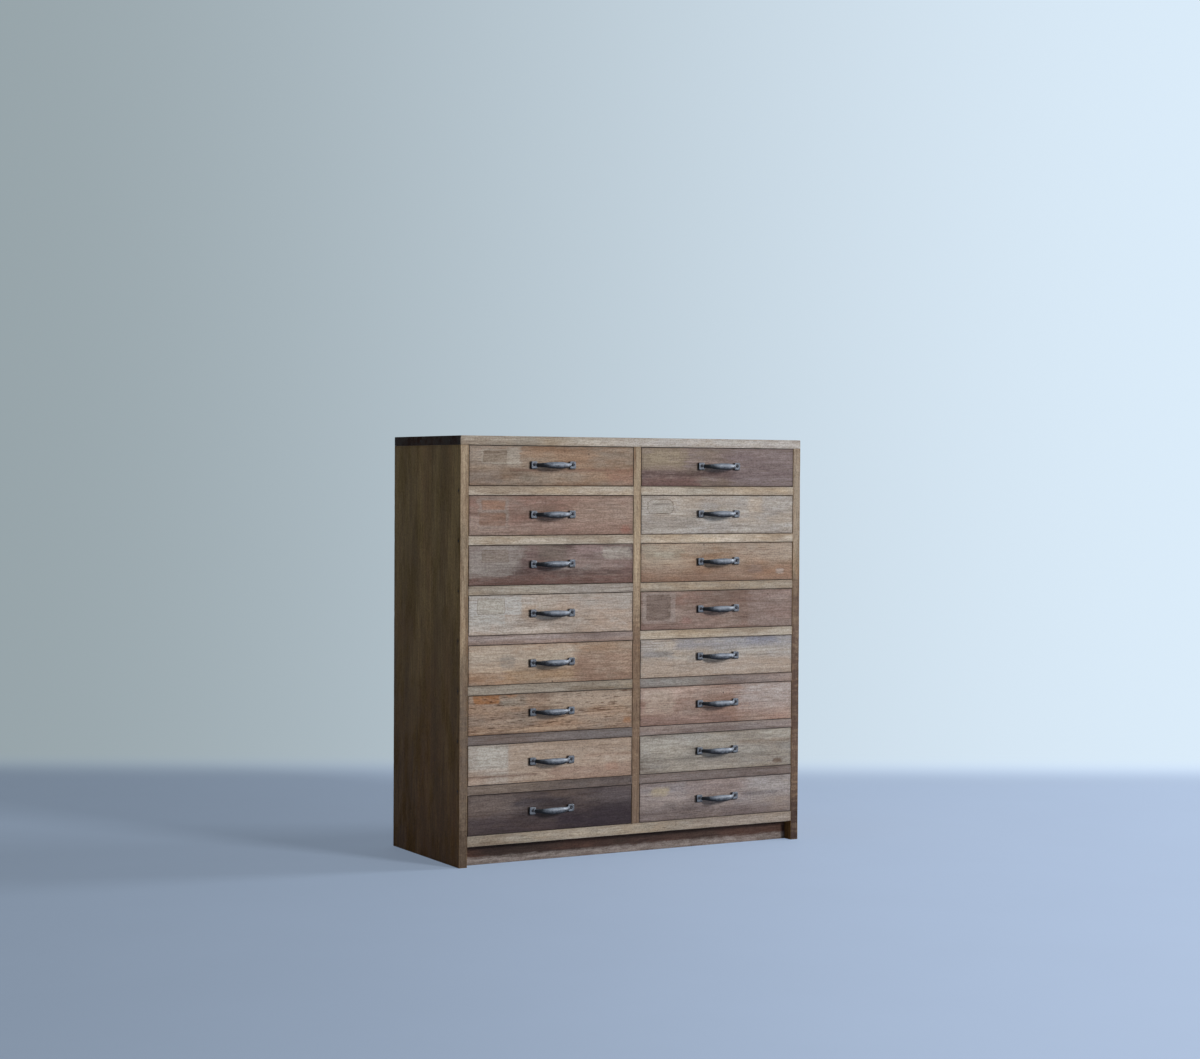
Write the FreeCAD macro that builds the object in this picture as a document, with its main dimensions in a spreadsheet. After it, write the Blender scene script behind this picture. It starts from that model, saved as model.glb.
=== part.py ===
import FreeCAD, Part
import os

import Sketcher

# Document cabinet: a plain board carcass with two columns of inset drawers, each with an iron bow pull.
# Millimetres. X runs to the right, Y to the back and Z up. The origin lies on the floor, in the middle
# of the space that the cabinet and its pulls take.

doc = FreeCAD.newDocument("DocumentCabinet")
rowCount = 8
rows = range(1, rowCount + 1)
railRows = range(1, rowCount)
subparts = []

# Driving sizes

driving = {
    "cabinetWidth": 876,
    "cabinetHeight": 930,
    "carcassDepth": 343,
    "sideThickness": 19.5,
    "dividerThickness": 19,
    "topThickness": 20,
    "bottomThickness": 23,
    "railHeight": 19.4,
    "railDepth": 30,
    "backThickness": 6,
    "backRebate": 9,
    "housingDepth": 6,
    "housingSetback": 12,
    "plinthHeight": 44,
    "plinthThickness": 15,
    "plinthSetback": 25,
    "runnerWidth": 15,
    "stopWidth": 12,
    "stopHeight": 12,
    "stopLength": 15,
    "frontThickness": 18,
    "frontGap": 1,
    "frontRebate": 10,
    "boxSideGap": 1.5,
    "boxTopGap": 4,
    "boxSideThickness": 10,
    "boxBackThickness": 10,
    "boxBottomThickness": 5,
    "pullLength": 111,
    "pullProjection": 27,
    "pullRise": 2,
    "footWidth": 15.5,
    "footHeight": 16.5,
    "footThickness": 4.5,
    "footCorner": 3,
    "footEdge": 1,
    "barHeight": 15,
    "barThickness": 9,
    "neckHeight": 8,
    "neckThickness": 6,
    "neckOverhang": 2,
    "screwHeadRadius": 3,
    "screwHeadHeight": 1.8,
    "screwShankRadius": 1.8,
    "screwShankLength": 18,
    "screwHoleClearance": 0.3,
    "screwSlotWidth": 0.9,
    "screwSlotDepth": 0.8,
    "nailHeadRadius": 2.4,
    "nailHeadHeight": 0.8,
    "nailProud": 0.3,
    "nailShankRadius": 1.2,
    "nailLength": 45,
    "nailSetback": 9,
    "topNailSetback": 53,
    "topNailSpacing": 148,
}

# Places and sizes worked out from the driving ones

worked = {
    "frontPlane": "(Sizes.pullProjection - Sizes.carcassDepth) / 2",
    "innerWidth": "Sizes.cabinetWidth - 2 * Sizes.sideThickness",
    "innerDepth": "Sizes.carcassDepth - Sizes.backThickness",
    "openingWidth": "(Sizes.cabinetWidth - 2 * Sizes.sideThickness - Sizes.dividerThickness) / 2",
    "openingHeight": "(Sizes.cabinetHeight - Sizes.plinthHeight - Sizes.bottomThickness"
                     f" - Sizes.topThickness - {rowCount - 1} * Sizes.railHeight) / {rowCount}",
    "leftOpening": "Sizes.sideThickness - Sizes.cabinetWidth / 2",
    "rightOpening": "Sizes.dividerThickness / 2",
    "bottomTop": "Sizes.plinthHeight + Sizes.bottomThickness",
    "sideHeight": "Sizes.cabinetHeight - Sizes.topThickness",
    "rebatedThickness": "Sizes.sideThickness - Sizes.backRebate",
    "housedLength": "innerDepth - Sizes.housingSetback",
    "drawerLength": "innerDepth - Sizes.stopLength",
    "frontWidth": "openingWidth - 2 * Sizes.frontGap",
    "frontHeight": "openingHeight - 2 * Sizes.frontGap",
    "frontLip": "Sizes.frontThickness - Sizes.frontRebate",
    "sideNotch": "Sizes.boxSideThickness + Sizes.boxSideGap - Sizes.frontGap",
    "farNotch": "frontWidth - sideNotch",
    "bottomNotch": "Sizes.boxBottomThickness - Sizes.frontGap",
    "boxLength": "drawerLength - frontLip",
    "boxSideHeight": "openingHeight - Sizes.boxTopGap - Sizes.boxBottomThickness",
    "footMiddle": "Sizes.footWidth / 2",
    "footCentre": "Sizes.footHeight / 2",
    "screwReach": "(Sizes.pullLength - Sizes.footWidth) / 2",
    "screwHoleRadius": "Sizes.screwShankRadius + Sizes.screwHoleClearance",
    "screwLength": "Sizes.screwHeadHeight + Sizes.screwShankLength",
    "barReach": "Sizes.pullLength / 2 - Sizes.footWidth + Sizes.neckThickness / 2 - Sizes.neckOverhang",
    "barRoot": "Sizes.footThickness / 2",
    "barRise": "Sizes.pullProjection - (Sizes.barThickness + Sizes.footThickness) / 2",
}


def fillSheet(name, cells, lead):
    sheet = doc.addObject("Spreadsheet::Sheet", name)
    for line, (alias, content) in enumerate(cells.items(), 1):
        sheet.set(f"A{line}", alias)
        sheet.set(f"B{line}", f"{lead}{content}")
        sheet.setAlias(f"B{line}", alias)
    doc.recompute()
    return sheet


sizes = fillSheet("Sizes", driving, "")
places = fillSheet("Places", worked, "=")


def cell(alias):
    return f"Sizes.{alias}" if alias in driving else f"Places.{alias}"


def number(alias):
    return float(sizes.get(alias) if alias in driving else places.get(alias))


# Helpers for boards, copies and groups

def bind(thing, **formulas):
    for name, formula in formulas.items():
        thing.setExpression(name, formula)


def place(thing, x, y, z):
    for axis, formula in zip("xyz", (x, y, z)):
        thing.setExpression(f"Placement.Base.{axis}", formula)


def board(name, size, corner):
    box = doc.addObject("Part::Box", name)
    bind(box, Length=size[0], Width=size[1], Height=size[2])
    place(box, *corner)
    return box


def joined(name, members):
    whole = doc.addObject("Part::MultiFuse", name)
    whole.Shapes = members
    whole.Refine = True
    return whole


def cut(name, base, tool):
    rest = doc.addObject("Part::Cut", name)
    rest.Base = base
    rest.Tool = tool
    return rest


def group(name, members, corner=("0", "0", "0"), turn=None):
    whole = doc.addObject("Part::Compound", name)
    whole.Links = members
    if turn:
        whole.Placement.Rotation = FreeCAD.Rotation(*turn)
    place(whole, *corner)
    return whole


def keep(thing, label):
    thing.Label = label
    subparts.append(thing)


# Helpers for sketches, whose sizes are all named cells

def sketchOn(body, role, name):
    plane = [item for item in body.Origin.OriginFeatures if item.Role == role][0]
    sketch = body.newObject("Sketcher::SketchObject", name)
    sketch.AttachmentSupport = [(plane, "")]
    sketch.MapMode = "FlatFace"
    return sketch


def distance(sketch, kind, index, point, alias):
    entry = sketch.addConstraint(Sketcher.Constraint(kind, -1, 1, index, point, number(alias)))
    sketch.setExpression(f"Constraints[{entry}]", cell(alias))


def outline(sketch, corners):
    # A closed run of level and upright lines. The first corner is the sketch's origin, the others are
    # pairs of cell names, and None is nought.
    spots = [FreeCAD.Vector(number(x) if x else 0, number(y) if y else 0, 0) for x, y in corners]
    count = len(spots)
    for index in range(count):
        sketch.addGeometry(Part.LineSegment(spots[index], spots[(index + 1) % count]), False)
    for index in range(count):
        sketch.addConstraint(Sketcher.Constraint("Coincident", index, 2, (index + 1) % count, 1))
    sketch.addConstraint(Sketcher.Constraint("Coincident", 0, 1, -1, 1))
    for index, (x, y) in enumerate(corners):
        level = index % 2 == 0
        sketch.addConstraint(Sketcher.Constraint("Horizontal" if level else "Vertical", index))
        if level and y:
            distance(sketch, "DistanceY", index, 1, y)
        if not level and x:
            distance(sketch, "DistanceX", index, 1, x)


def rectangle(sketch, left, right, top):
    # From the sketch's level axis up to top, between left and right.
    x0, x1, y1 = number(left), number(right), number(top)
    spots = [FreeCAD.Vector(x, y, 0) for x, y in ((x0, 0), (x1, 0), (x1, y1), (x0, y1))]
    for index in range(4):
        sketch.addGeometry(Part.LineSegment(spots[index], spots[(index + 1) % 4]), False)
    for index in range(4):
        sketch.addConstraint(Sketcher.Constraint("Coincident", index, 2, (index + 1) % 4, 1))
        sketch.addConstraint(Sketcher.Constraint("Horizontal" if index % 2 == 0 else "Vertical", index))
    sketch.addConstraint(Sketcher.Constraint("PointOnObject", 0, 1, -1))
    distance(sketch, "DistanceX", 0, 1, left)
    distance(sketch, "DistanceX", 1, 1, right)
    distance(sketch, "DistanceY", 2, 1, top)


def pad(body, sketch, length):
    feature = body.newObject("PartDesign::Pad", sketch.Name + "Pad")
    feature.Profile = sketch
    bind(feature, Length=cell(length))
    sketch.Visibility = False
    return feature


def throughPocket(body, sketch):
    feature = body.newObject("PartDesign::Pocket", sketch.Name + "Pocket")
    feature.Profile = sketch
    feature.Type = "ThroughAll"
    feature.Reversed = True
    return feature


# Carcass

def rowBottom(row):
    return f"Places.bottomTop + {rowCount - row} * (Places.openingHeight + Sizes.railHeight)"


def sidePanels(bottomTongue):
    # The plan shape has a rebate for the back panel, and a stopped housing takes the bottom board.
    body = doc.addObject("PartDesign::Body", "SidePanelBody")
    plan = sketchOn(body, "XY_Plane", "SidePanelPlan")
    outline(plan, [
        (None, None),
        ("sideThickness", None),
        ("sideThickness", "innerDepth"),
        ("rebatedThickness", "innerDepth"),
        ("rebatedThickness", "carcassDepth"),
        (None, "carcassDepth"),
    ])
    pad(body, plan, "sideHeight")
    place(body, "-Sizes.cabinetWidth / 2", "Places.frontPlane", "0")
    left = cut("LeftSidePanel", body, bottomTongue)
    right = doc.addObject("Part::Mirroring", "RightSidePanel")
    right.Source = left
    right.Normal = (1, 0, 0)
    keep(left, "left_side_panel")
    keep(right, "right_side_panel")


def carcassBoards():
    # Tongues run back from a little behind the front, so that the housings stay out of sight.
    tongueStart = "Places.frontPlane + Sizes.housingSetback"
    dividerTongue = board(
        "DividerTongue",
        ("Sizes.dividerThickness", "Places.housedLength",
         "Places.sideHeight - Places.bottomTop + 2 * Sizes.housingDepth"),
        ("-Sizes.dividerThickness / 2", tongueStart, "Places.bottomTop - Sizes.housingDepth"))
    bottomTongue = board(
        "BottomTongue",
        ("Places.innerWidth + 2 * Sizes.housingDepth", "Places.housedLength", "Sizes.bottomThickness"),
        ("-Places.innerWidth / 2 - Sizes.housingDepth", tongueStart, "Sizes.plinthHeight"))

    dividerBoard = board(
        "DividerBoard",
        ("Sizes.dividerThickness", "Places.innerDepth", "Places.sideHeight - Places.bottomTop"),
        ("-Sizes.dividerThickness / 2", "Places.frontPlane", "Places.bottomTop"))
    keep(joined("CentreDivider", [dividerBoard, dividerTongue]), "centre_divider")

    bottomBoard = board(
        "BottomBlank",
        ("Places.innerWidth", "Places.innerDepth", "Sizes.bottomThickness"),
        ("-Places.innerWidth / 2", "Places.frontPlane", "Sizes.plinthHeight"))
    housedBottom = joined("HousedBottom", [bottomBoard, bottomTongue])
    keep(cut("BottomBoard", housedBottom, dividerTongue), "bottom_board")

    topBlank = board(
        "TopBlank",
        ("Sizes.cabinetWidth", "Sizes.carcassDepth", "Sizes.topThickness"),
        ("-Sizes.cabinetWidth / 2", "Places.frontPlane", "Places.sideHeight"))
    keep(cut("TopBoard", topBlank, dividerTongue), "top_board")
    sidePanels(bottomTongue)


def backAndBase():
    keep(board(
        "BackPanel",
        ("Places.innerWidth + 2 * Sizes.backRebate", "Sizes.backThickness",
         "Places.sideHeight - Sizes.plinthHeight"),
        ("-Places.innerWidth / 2 - Sizes.backRebate", "Places.frontPlane + Places.innerDepth",
         "Sizes.plinthHeight")), "back_panel")
    plinthSize = ("Places.innerWidth", "Sizes.plinthThickness", "Sizes.plinthHeight")
    keep(board("FrontPlinth", plinthSize, (
        "-Places.innerWidth / 2", "Places.frontPlane + Sizes.plinthSetback", "0")), "front_plinth_board")
    keep(board("RearPlinth", plinthSize, (
        "-Places.innerWidth / 2", "Places.frontPlane + Places.innerDepth - Sizes.plinthThickness",
        "0")), "rear_plinth_board")


def railsAndRunners():
    rails = []
    runners = []
    for side, opening in (("Left", "Places.leftOpening"), ("Right", "Places.rightOpening")):
        for row in railRows:
            base = f"{rowBottom(row)} - Sizes.railHeight"
            rails.append(board(
                f"{side}Rail{row}",
                ("Places.openingWidth", "Sizes.railDepth", "Sizes.railHeight"),
                (opening, "Places.frontPlane", base)))
            for hand, shift in (("Near", "0"), ("Far", "Places.openingWidth - Sizes.runnerWidth")):
                runners.append(board(
                    f"{side}{hand}Runner{row}",
                    ("Sizes.runnerWidth", "Places.innerDepth - Sizes.railDepth", "Sizes.railHeight"),
                    (f"{opening} + {shift}", "Places.frontPlane + Sizes.railDepth", base)))
    keep(group("Rails", rails), "front_rails")
    keep(group("Runners", runners), "drawer_runners")


def drawerStops():
    stops = []
    for side, opening in (("Left", "Places.leftOpening"), ("Right", "Places.rightOpening")):
        for row in rows:
            for hand, shift in (("Near", "0"), ("Far", "Places.openingWidth - Sizes.stopWidth")):
                stops.append(board(
                    f"{side}{hand}Stop{row}",
                    ("Sizes.stopWidth", "Sizes.stopLength", "Sizes.stopHeight"),
                    (f"{opening} + {shift}", "Places.frontPlane + Places.drawerLength", rowBottom(row))))
    keep(group("Stops", stops), "drawer_stops")


def carcassNails():
    # One nail through each side into the end of every rail, and a pair at each end of the top board.
    head = doc.addObject("Part::Cylinder", "NailHead")
    bind(head, Radius="Sizes.nailHeadRadius", Height="Sizes.nailHeadHeight")
    shank = doc.addObject("Part::Cylinder", "NailShank")
    bind(shank, Radius="Sizes.nailShankRadius", Height="Sizes.nailLength")
    nail = joined("Nail", [head, shank])
    spots = [("Sizes.nailSetback", f"{rowBottom(row)} - Sizes.railHeight / 2") for row in railRows]
    for step in range(2):
        spots.append((f"Sizes.topNailSetback + {step} * Sizes.topNailSpacing",
                      "Sizes.cabinetHeight - Sizes.topThickness / 2"))
    nails = []
    upright = FreeCAD.Vector(0, 1, 0)
    for side, sign, angle in (("Left", "-", 90), ("Right", "", -90)):
        for index, (setback, height) in enumerate(spots, 1):
            nails.append(group(
                f"{side}Nail{index}", [nail],
                (f"{sign}(Sizes.cabinetWidth / 2 + Sizes.nailProud)",
                 f"Places.frontPlane + {setback}", height),
                (upright, angle)))
    keep(group("Nails", nails), "carcass_nails")


# Drawer, in a frame whose origin is the lower left front corner of its opening

def drawerFront():
    # A board with rebated ends for the box sides and a rebated lower edge for the bottom.
    body = doc.addObject("PartDesign::Body", "DrawerFrontBody")
    plan = sketchOn(body, "XY_Plane", "DrawerFrontPlan")
    outline(plan, [
        (None, None),
        ("frontWidth", None),
        ("frontWidth", "frontLip"),
        ("farNotch", "frontLip"),
        ("farNotch", "frontThickness"),
        ("sideNotch", "frontThickness"),
        ("sideNotch", "frontLip"),
        (None, "frontLip"),
    ])
    pad(body, plan, "frontHeight")
    rebate = sketchOn(body, "YZ_Plane", "DrawerFrontRebate")
    rectangle(rebate, "frontLip", "frontThickness", "bottomNotch")
    throughPocket(body, rebate)
    place(body, "Sizes.frontGap", "0", "Sizes.frontGap")
    return body


def drawerBox():
    sideSize = ("Sizes.boxSideThickness", "Places.boxLength", "Places.boxSideHeight")
    farSide = "Places.openingWidth - Sizes.boxSideGap - Sizes.boxSideThickness"
    near = board("BoxNearSide", sideSize, ("Sizes.boxSideGap", "Places.frontLip", "Sizes.boxBottomThickness"))
    far = board("BoxFarSide", sideSize, (farSide, "Places.frontLip", "Sizes.boxBottomThickness"))
    back = board(
        "BoxBack",
        ("Places.openingWidth - 2 * (Sizes.boxSideGap + Sizes.boxSideThickness)",
         "Sizes.boxBackThickness", "Places.boxSideHeight"),
        ("Sizes.boxSideGap + Sizes.boxSideThickness", "Places.drawerLength - Sizes.boxBackThickness",
         "Sizes.boxBottomThickness"))
    bottom = board(
        "BoxBottom",
        ("Places.openingWidth - 2 * Sizes.boxSideGap", "Places.boxLength", "Sizes.boxBottomThickness"),
        ("Sizes.boxSideGap", "Places.frontLip", "0"))
    return [near, far, back, bottom]


# Pull, in a frame whose origin is on the drawer's face, midway between its feet

def pullFoot():
    body = doc.addObject("PartDesign::Body", "PullFootBody")
    face = sketchOn(body, "XZ_Plane", "PullFootFace")
    outline(face, [
        (None, None),
        ("footWidth", None),
        ("footWidth", "footHeight"),
        (None, "footHeight"),
    ])
    block = pad(body, face, "footThickness")
    doc.recompute()
    corners = [f"Edge{index}" for index, edge in enumerate(block.Shape.Edges, 1)
               if abs(edge.tangentAt(edge.FirstParameter).y) > 0.9]
    rounded = body.newObject("PartDesign::Fillet", "PullFootCorners")
    rounded.Base = (block, corners)
    bind(rounded, Radius=cell("footCorner"))
    doc.recompute()
    outer = [f"Face{index}" for index, side in enumerate(rounded.Shape.Faces, 1)
             if side.CenterOfMass.y < -0.99 * number("footThickness")]
    softened = body.newObject("PartDesign::Fillet", "PullFootEdge")
    softened.Base = (rounded, outer)
    bind(softened, Radius=cell("footEdge"))
    doc.recompute()
    drilling = sketchOn(body, "XZ_Plane", "PullFootDrilling")
    centre = FreeCAD.Vector(number("footMiddle"), number("footCentre"), 0)
    drilling.addGeometry(Part.Circle(centre, FreeCAD.Vector(0, 0, 1), number("screwHoleRadius")), False)
    distance(drilling, "DistanceX", 0, 3, "footMiddle")
    distance(drilling, "DistanceY", 0, 3, "footCentre")
    entry = drilling.addConstraint(Sketcher.Constraint("Radius", 0, number("screwHoleRadius")))
    drilling.setExpression(f"Constraints[{entry}]", cell("screwHoleRadius"))
    throughPocket(body, drilling)
    place(body, "-Sizes.pullLength / 2", "0", "-Sizes.footHeight / 2")
    return body


def pullBar():
    # Oval sections along a bow that leaves the feet steeply and swells towards its middle.
    sectionCount = 9
    bowPower = 2.6
    sections = []
    for index in range(sectionCount):
        share = (2 * index / (sectionCount - 1) - 1)
        along = round(share * (1.5 - 0.5 * share * share), 4)
        sweep = abs(along)
        rise = round(1 - sweep ** bowPower, 4)
        swell = round((1 - sweep * sweep) ** 0.8, 4)
        slope = bowPower * number("barRise") / number("barReach") * sweep ** (bowPower - 1)
        tilt = FreeCAD.Vector(1, slope if along > 0 else -slope, 0)
        section = doc.addObject("Part::Ellipse", f"BarSection{index + 1}")
        bind(
            section,
            MajorRadius=f"(Sizes.neckHeight + {swell} * (Sizes.barHeight - Sizes.neckHeight)) / 2",
            MinorRadius=f"(Sizes.neckThickness + {swell} * (Sizes.barThickness - Sizes.neckThickness)) / 2")
        level = FreeCAD.Vector(0, 0, 1)
        section.Placement.Rotation = FreeCAD.Rotation(level, level.cross(tilt) * -1, tilt, "XZY")
        place(section, f"{along} * Places.barReach", f"-Places.barRoot - {rise} * Places.barRise", "0")
        sections.append(section)
    bar = doc.addObject("Part::Loft", "PullBar")
    bar.Sections = sections
    bar.Solid = True
    return bar


def pullScrew():
    # A domed slotted head on a plain shank, with the head's crown at the origin.
    body = doc.addObject("PartDesign::Body", "ScrewBody")
    half = sketchOn(body, "XY_Plane", "ScrewHalf")
    radius, head = number("screwHeadRadius"), number("screwHeadHeight")
    shank, length = number("screwShankRadius"), number("screwLength")
    dome = (radius ** 2 + head ** 2) / (2 * head)
    crown = FreeCAD.Vector(0, 0, 0)
    shoulder = FreeCAD.Vector(0.5 * radius, dome - (dome ** 2 - (0.5 * radius) ** 2) ** 0.5, 0)
    spots = [FreeCAD.Vector(*spot, 0) for spot in ((radius, head), (shank, head), (shank, length), (0, length))]
    half.addGeometry(Part.Arc(crown, shoulder, spots[0]), False)
    for start, end in zip(spots, spots[1:] + [crown]):
        half.addGeometry(Part.LineSegment(start, end), False)
    arcStart = 1 if half.Geometry[0].StartPoint.Length < 0.001 else 2
    half.addConstraint(Sketcher.Constraint("Coincident", 0, arcStart, -1, 1))
    half.addConstraint(Sketcher.Constraint("PointOnObject", 0, 3, -2))
    half.addConstraint(Sketcher.Constraint("Coincident", 0, 3 - arcStart, 1, 1))
    for index in range(1, 4):
        half.addConstraint(Sketcher.Constraint("Coincident", index, 2, index + 1, 1))
    half.addConstraint(Sketcher.Constraint("Coincident", 4, 2, -1, 1))
    for index, kind in enumerate(("Horizontal", "Vertical", "Horizontal", "Vertical"), 1):
        half.addConstraint(Sketcher.Constraint(kind, index))
    distance(half, "DistanceX", 1, 1, "screwHeadRadius")
    distance(half, "DistanceY", 1, 1, "screwHeadHeight")
    distance(half, "DistanceX", 2, 1, "screwShankRadius")
    distance(half, "DistanceY", 3, 1, "screwLength")
    turned = body.newObject("PartDesign::Revolution", "ScrewTurned")
    turned.Profile = half
    turned.ReferenceAxis = (half, ["V_Axis"])
    turned.Angle = 360
    slot = board(
        "ScrewSlot",
        ("2 * Sizes.screwHeadRadius", "Sizes.screwSlotDepth", "Sizes.screwSlotWidth"),
        ("-Sizes.screwHeadRadius", "0", "-Sizes.screwSlotWidth / 2"))
    return cut("Screw", body, slot)


def pullPieces():
    foot = pullFoot()
    farFoot = doc.addObject("Part::Mirroring", "PullFarFoot")
    farFoot.Source = foot
    farFoot.Normal = (1, 0, 0)
    casting = joined("PullCasting", [foot, farFoot, pullBar()])
    screw = pullScrew()
    acrossFace = FreeCAD.Vector(0, 1, 0)
    screws = []
    for side, sign, angle in (("Left", "-", 25), ("Right", "", -40)):
        screws.append(group(
            f"{side}Screw", [screw],
            (f"{sign}Places.screwReach", "-(Sizes.footThickness + Sizes.screwHeadHeight)", "0"),
            (acrossFace, angle)))
    return [casting] + screws


def drawers():
    front = drawerFront()
    box = drawerBox()
    pull = pullPieces()
    for side, opening in (("left", "Places.leftOpening"), ("right", "Places.rightOpening")):
        for row in rows:
            name = f"{side.title()}Drawer{row}"
            label = f"drawer_{side}_{row}"
            corner = (opening, "Places.frontPlane", rowBottom(row))
            middle = (f"{opening} + Places.openingWidth / 2", "Places.frontPlane",
                      f"{rowBottom(row)} + Places.openingHeight / 2 + Sizes.pullRise")
            keep(group(f"{name}Front", [front], corner), f"{label}_front")
            keep(group(f"{name}Box", box, corner), f"{label}_box")
            keep(group(f"{name}Pull", pull, middle), f"{label}_pull")


carcassBoards()
backAndBase()
railsAndRunners()
drawerStops()
carcassNails()
drawers()
doc.recompute()

# Checks, then one file for each sub-part

for thing in doc.Objects:
    if "Invalid" in thing.State or "Error" in thing.State:
        raise RuntimeError(f"{thing.Name} did not build: {thing.State}")
for thing in subparts:
    if thing.Shape.isNull() or not thing.Shape.isValid() or not thing.Shape.Solids:
        raise RuntimeError(f"{thing.Label} has no sound shape")

os.makedirs("parts", exist_ok=True)
for thing in subparts:
    thing.Shape.exportStep(f"parts/{thing.Label}.step")
print(f"{len(subparts)} sub-parts, {sum(len(thing.Shape.Solids) for thing in subparts)} solids")
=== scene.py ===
import math
import random

import bmesh
import bpy
from mathutils import Color, Matrix, Vector, noise


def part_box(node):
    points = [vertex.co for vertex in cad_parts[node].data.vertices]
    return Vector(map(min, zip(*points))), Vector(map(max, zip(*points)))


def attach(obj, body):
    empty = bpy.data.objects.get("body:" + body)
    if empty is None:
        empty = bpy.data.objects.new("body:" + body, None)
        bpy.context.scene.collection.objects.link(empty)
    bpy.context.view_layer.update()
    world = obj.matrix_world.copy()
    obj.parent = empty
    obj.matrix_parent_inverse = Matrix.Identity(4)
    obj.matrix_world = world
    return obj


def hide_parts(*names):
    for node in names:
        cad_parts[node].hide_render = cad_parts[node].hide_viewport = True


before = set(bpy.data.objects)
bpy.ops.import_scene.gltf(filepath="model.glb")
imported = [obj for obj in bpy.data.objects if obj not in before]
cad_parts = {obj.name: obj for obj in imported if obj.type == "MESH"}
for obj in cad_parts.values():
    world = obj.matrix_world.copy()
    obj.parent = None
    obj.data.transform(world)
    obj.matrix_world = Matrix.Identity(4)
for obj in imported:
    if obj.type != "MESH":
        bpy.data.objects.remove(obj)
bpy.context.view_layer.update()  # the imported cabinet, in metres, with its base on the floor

mm = 0.001
sides = ("left", "right")
rows = range(1, 9)  # row 1 is the top one
railRows = range(1, 8)


def drawerName(side, row):
    return f"drawer_{side}_{row}"


# Camera, at the photograph's angle

cameraSettings = {
    "place": (-2.58319, -4.58937, 0.84643),
    "turn": 29.3125,  # degrees to the right of straight at the front
    "dip": 1.3557,
    "roll": 0.3242,
    "lens": 68.918,
    "sensor": 36.0,
}


def makeCamera(settings):
    data = bpy.data.cameras.new("viewCamera")
    data.lens = settings["lens"]
    data.sensor_width = settings["sensor"]
    data.sensor_fit = "HORIZONTAL"
    camera = bpy.data.objects.new("viewCamera", data)
    bpy.context.scene.collection.objects.link(camera)
    turned = Matrix.Rotation(-math.radians(settings["turn"]), 4, "Z")
    dipped = Matrix.Rotation(math.radians(90 - settings["dip"]), 4, "X")
    rolled = Matrix.Rotation(math.radians(settings["roll"]), 4, "Z")
    camera.matrix_world = Matrix.Translation(settings["place"]) @ turned @ dipped @ rolled
    bpy.context.scene.camera = camera


makeCamera(cameraSettings)
print("camera done")


# Short ways to write node trees

def feed(tree, socket, value):
    if isinstance(value, bpy.types.NodeSocket):
        tree.links.new(value, socket)
    elif value is not None:
        socket.default_value = value


def addNode(tree, kind, inputs=None, **settings):
    node = tree.nodes.new(kind)
    for name, value in settings.items():
        setattr(node, name, value)
    for name, value in (inputs or {}).items():
        feed(tree, node.inputs[name], value)
    return node


def maths(tree, operation, *values):
    node = addNode(tree, "ShaderNodeMath", operation=operation)
    for socket, value in zip(node.inputs, values):
        feed(tree, socket, value)
    return node.outputs[0]


def vectorMaths(tree, operation, *values):
    node = addNode(tree, "ShaderNodeVectorMath", operation=operation)
    for socket, value in zip(node.inputs, values):
        feed(tree, socket, value)
    return node.outputs["Value" if operation in ("LENGTH", "DOT_PRODUCT") else "Vector"]


def vectorOf(tree, x=0.0, y=0.0, z=0.0):
    return addNode(tree, "ShaderNodeCombineXYZ", {"X": x, "Y": y, "Z": z}).outputs[0]


def ramp(tree, value, low, high, start=0.0, end=1.0):
    node = addNode(tree, "ShaderNodeMapRange", interpolation_type="SMOOTHSTEP")
    for socket, item in zip(node.inputs, (value, low, high, start, end)):
        feed(tree, socket, item)
    return node.outputs[0]


def blended(tree, share, first, second, way="MIX"):
    node = addNode(tree, "ShaderNodeMix", data_type="RGBA", blend_type=way)
    for index, item in ((0, share), (6, first), (7, second)):
        feed(tree, node.inputs[index], item)
    return node.outputs[2]


def noiseOf(tree, vector, stretch, detail=2.0, shift=0.0, roughness=0.55):
    moved = vectorMaths(tree, "MULTIPLY_ADD", vector, stretch, (shift, shift, shift))
    node = addNode(tree, "ShaderNodeTexNoise", {
        "Vector": moved, "Scale": 1.0, "Detail": detail, "Roughness": roughness})
    return node.outputs["Fac"]


def newGroup(name, inputs, outputs, kind="ShaderNodeTree"):
    group = bpy.data.node_groups.new(name, kind)
    for label, socket in inputs.items():
        group.interface.new_socket(label, in_out="INPUT", socket_type=f"NodeSocket{socket}")
    for label, socket in outputs.items():
        group.interface.new_socket(label, in_out="OUTPUT", socket_type=f"NodeSocket{socket}")
    given = group.nodes.new("NodeGroupInput").outputs
    out = group.nodes.new("NodeGroupOutput").inputs
    return group, given, out


def useGroup(tree, group, **values):
    node = tree.nodes.new("ShaderNodeGroup")
    node.node_tree = group
    for name, value in values.items():
        feed(tree, node.inputs[name], value)
    return node.outputs


def tone(red, green, blue):
    linear = Color((red / 255, green / 255, blue / 255)).from_srgb_to_scene_linear()
    return (*linear, 1.0)


# Effects that several materials share

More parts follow.
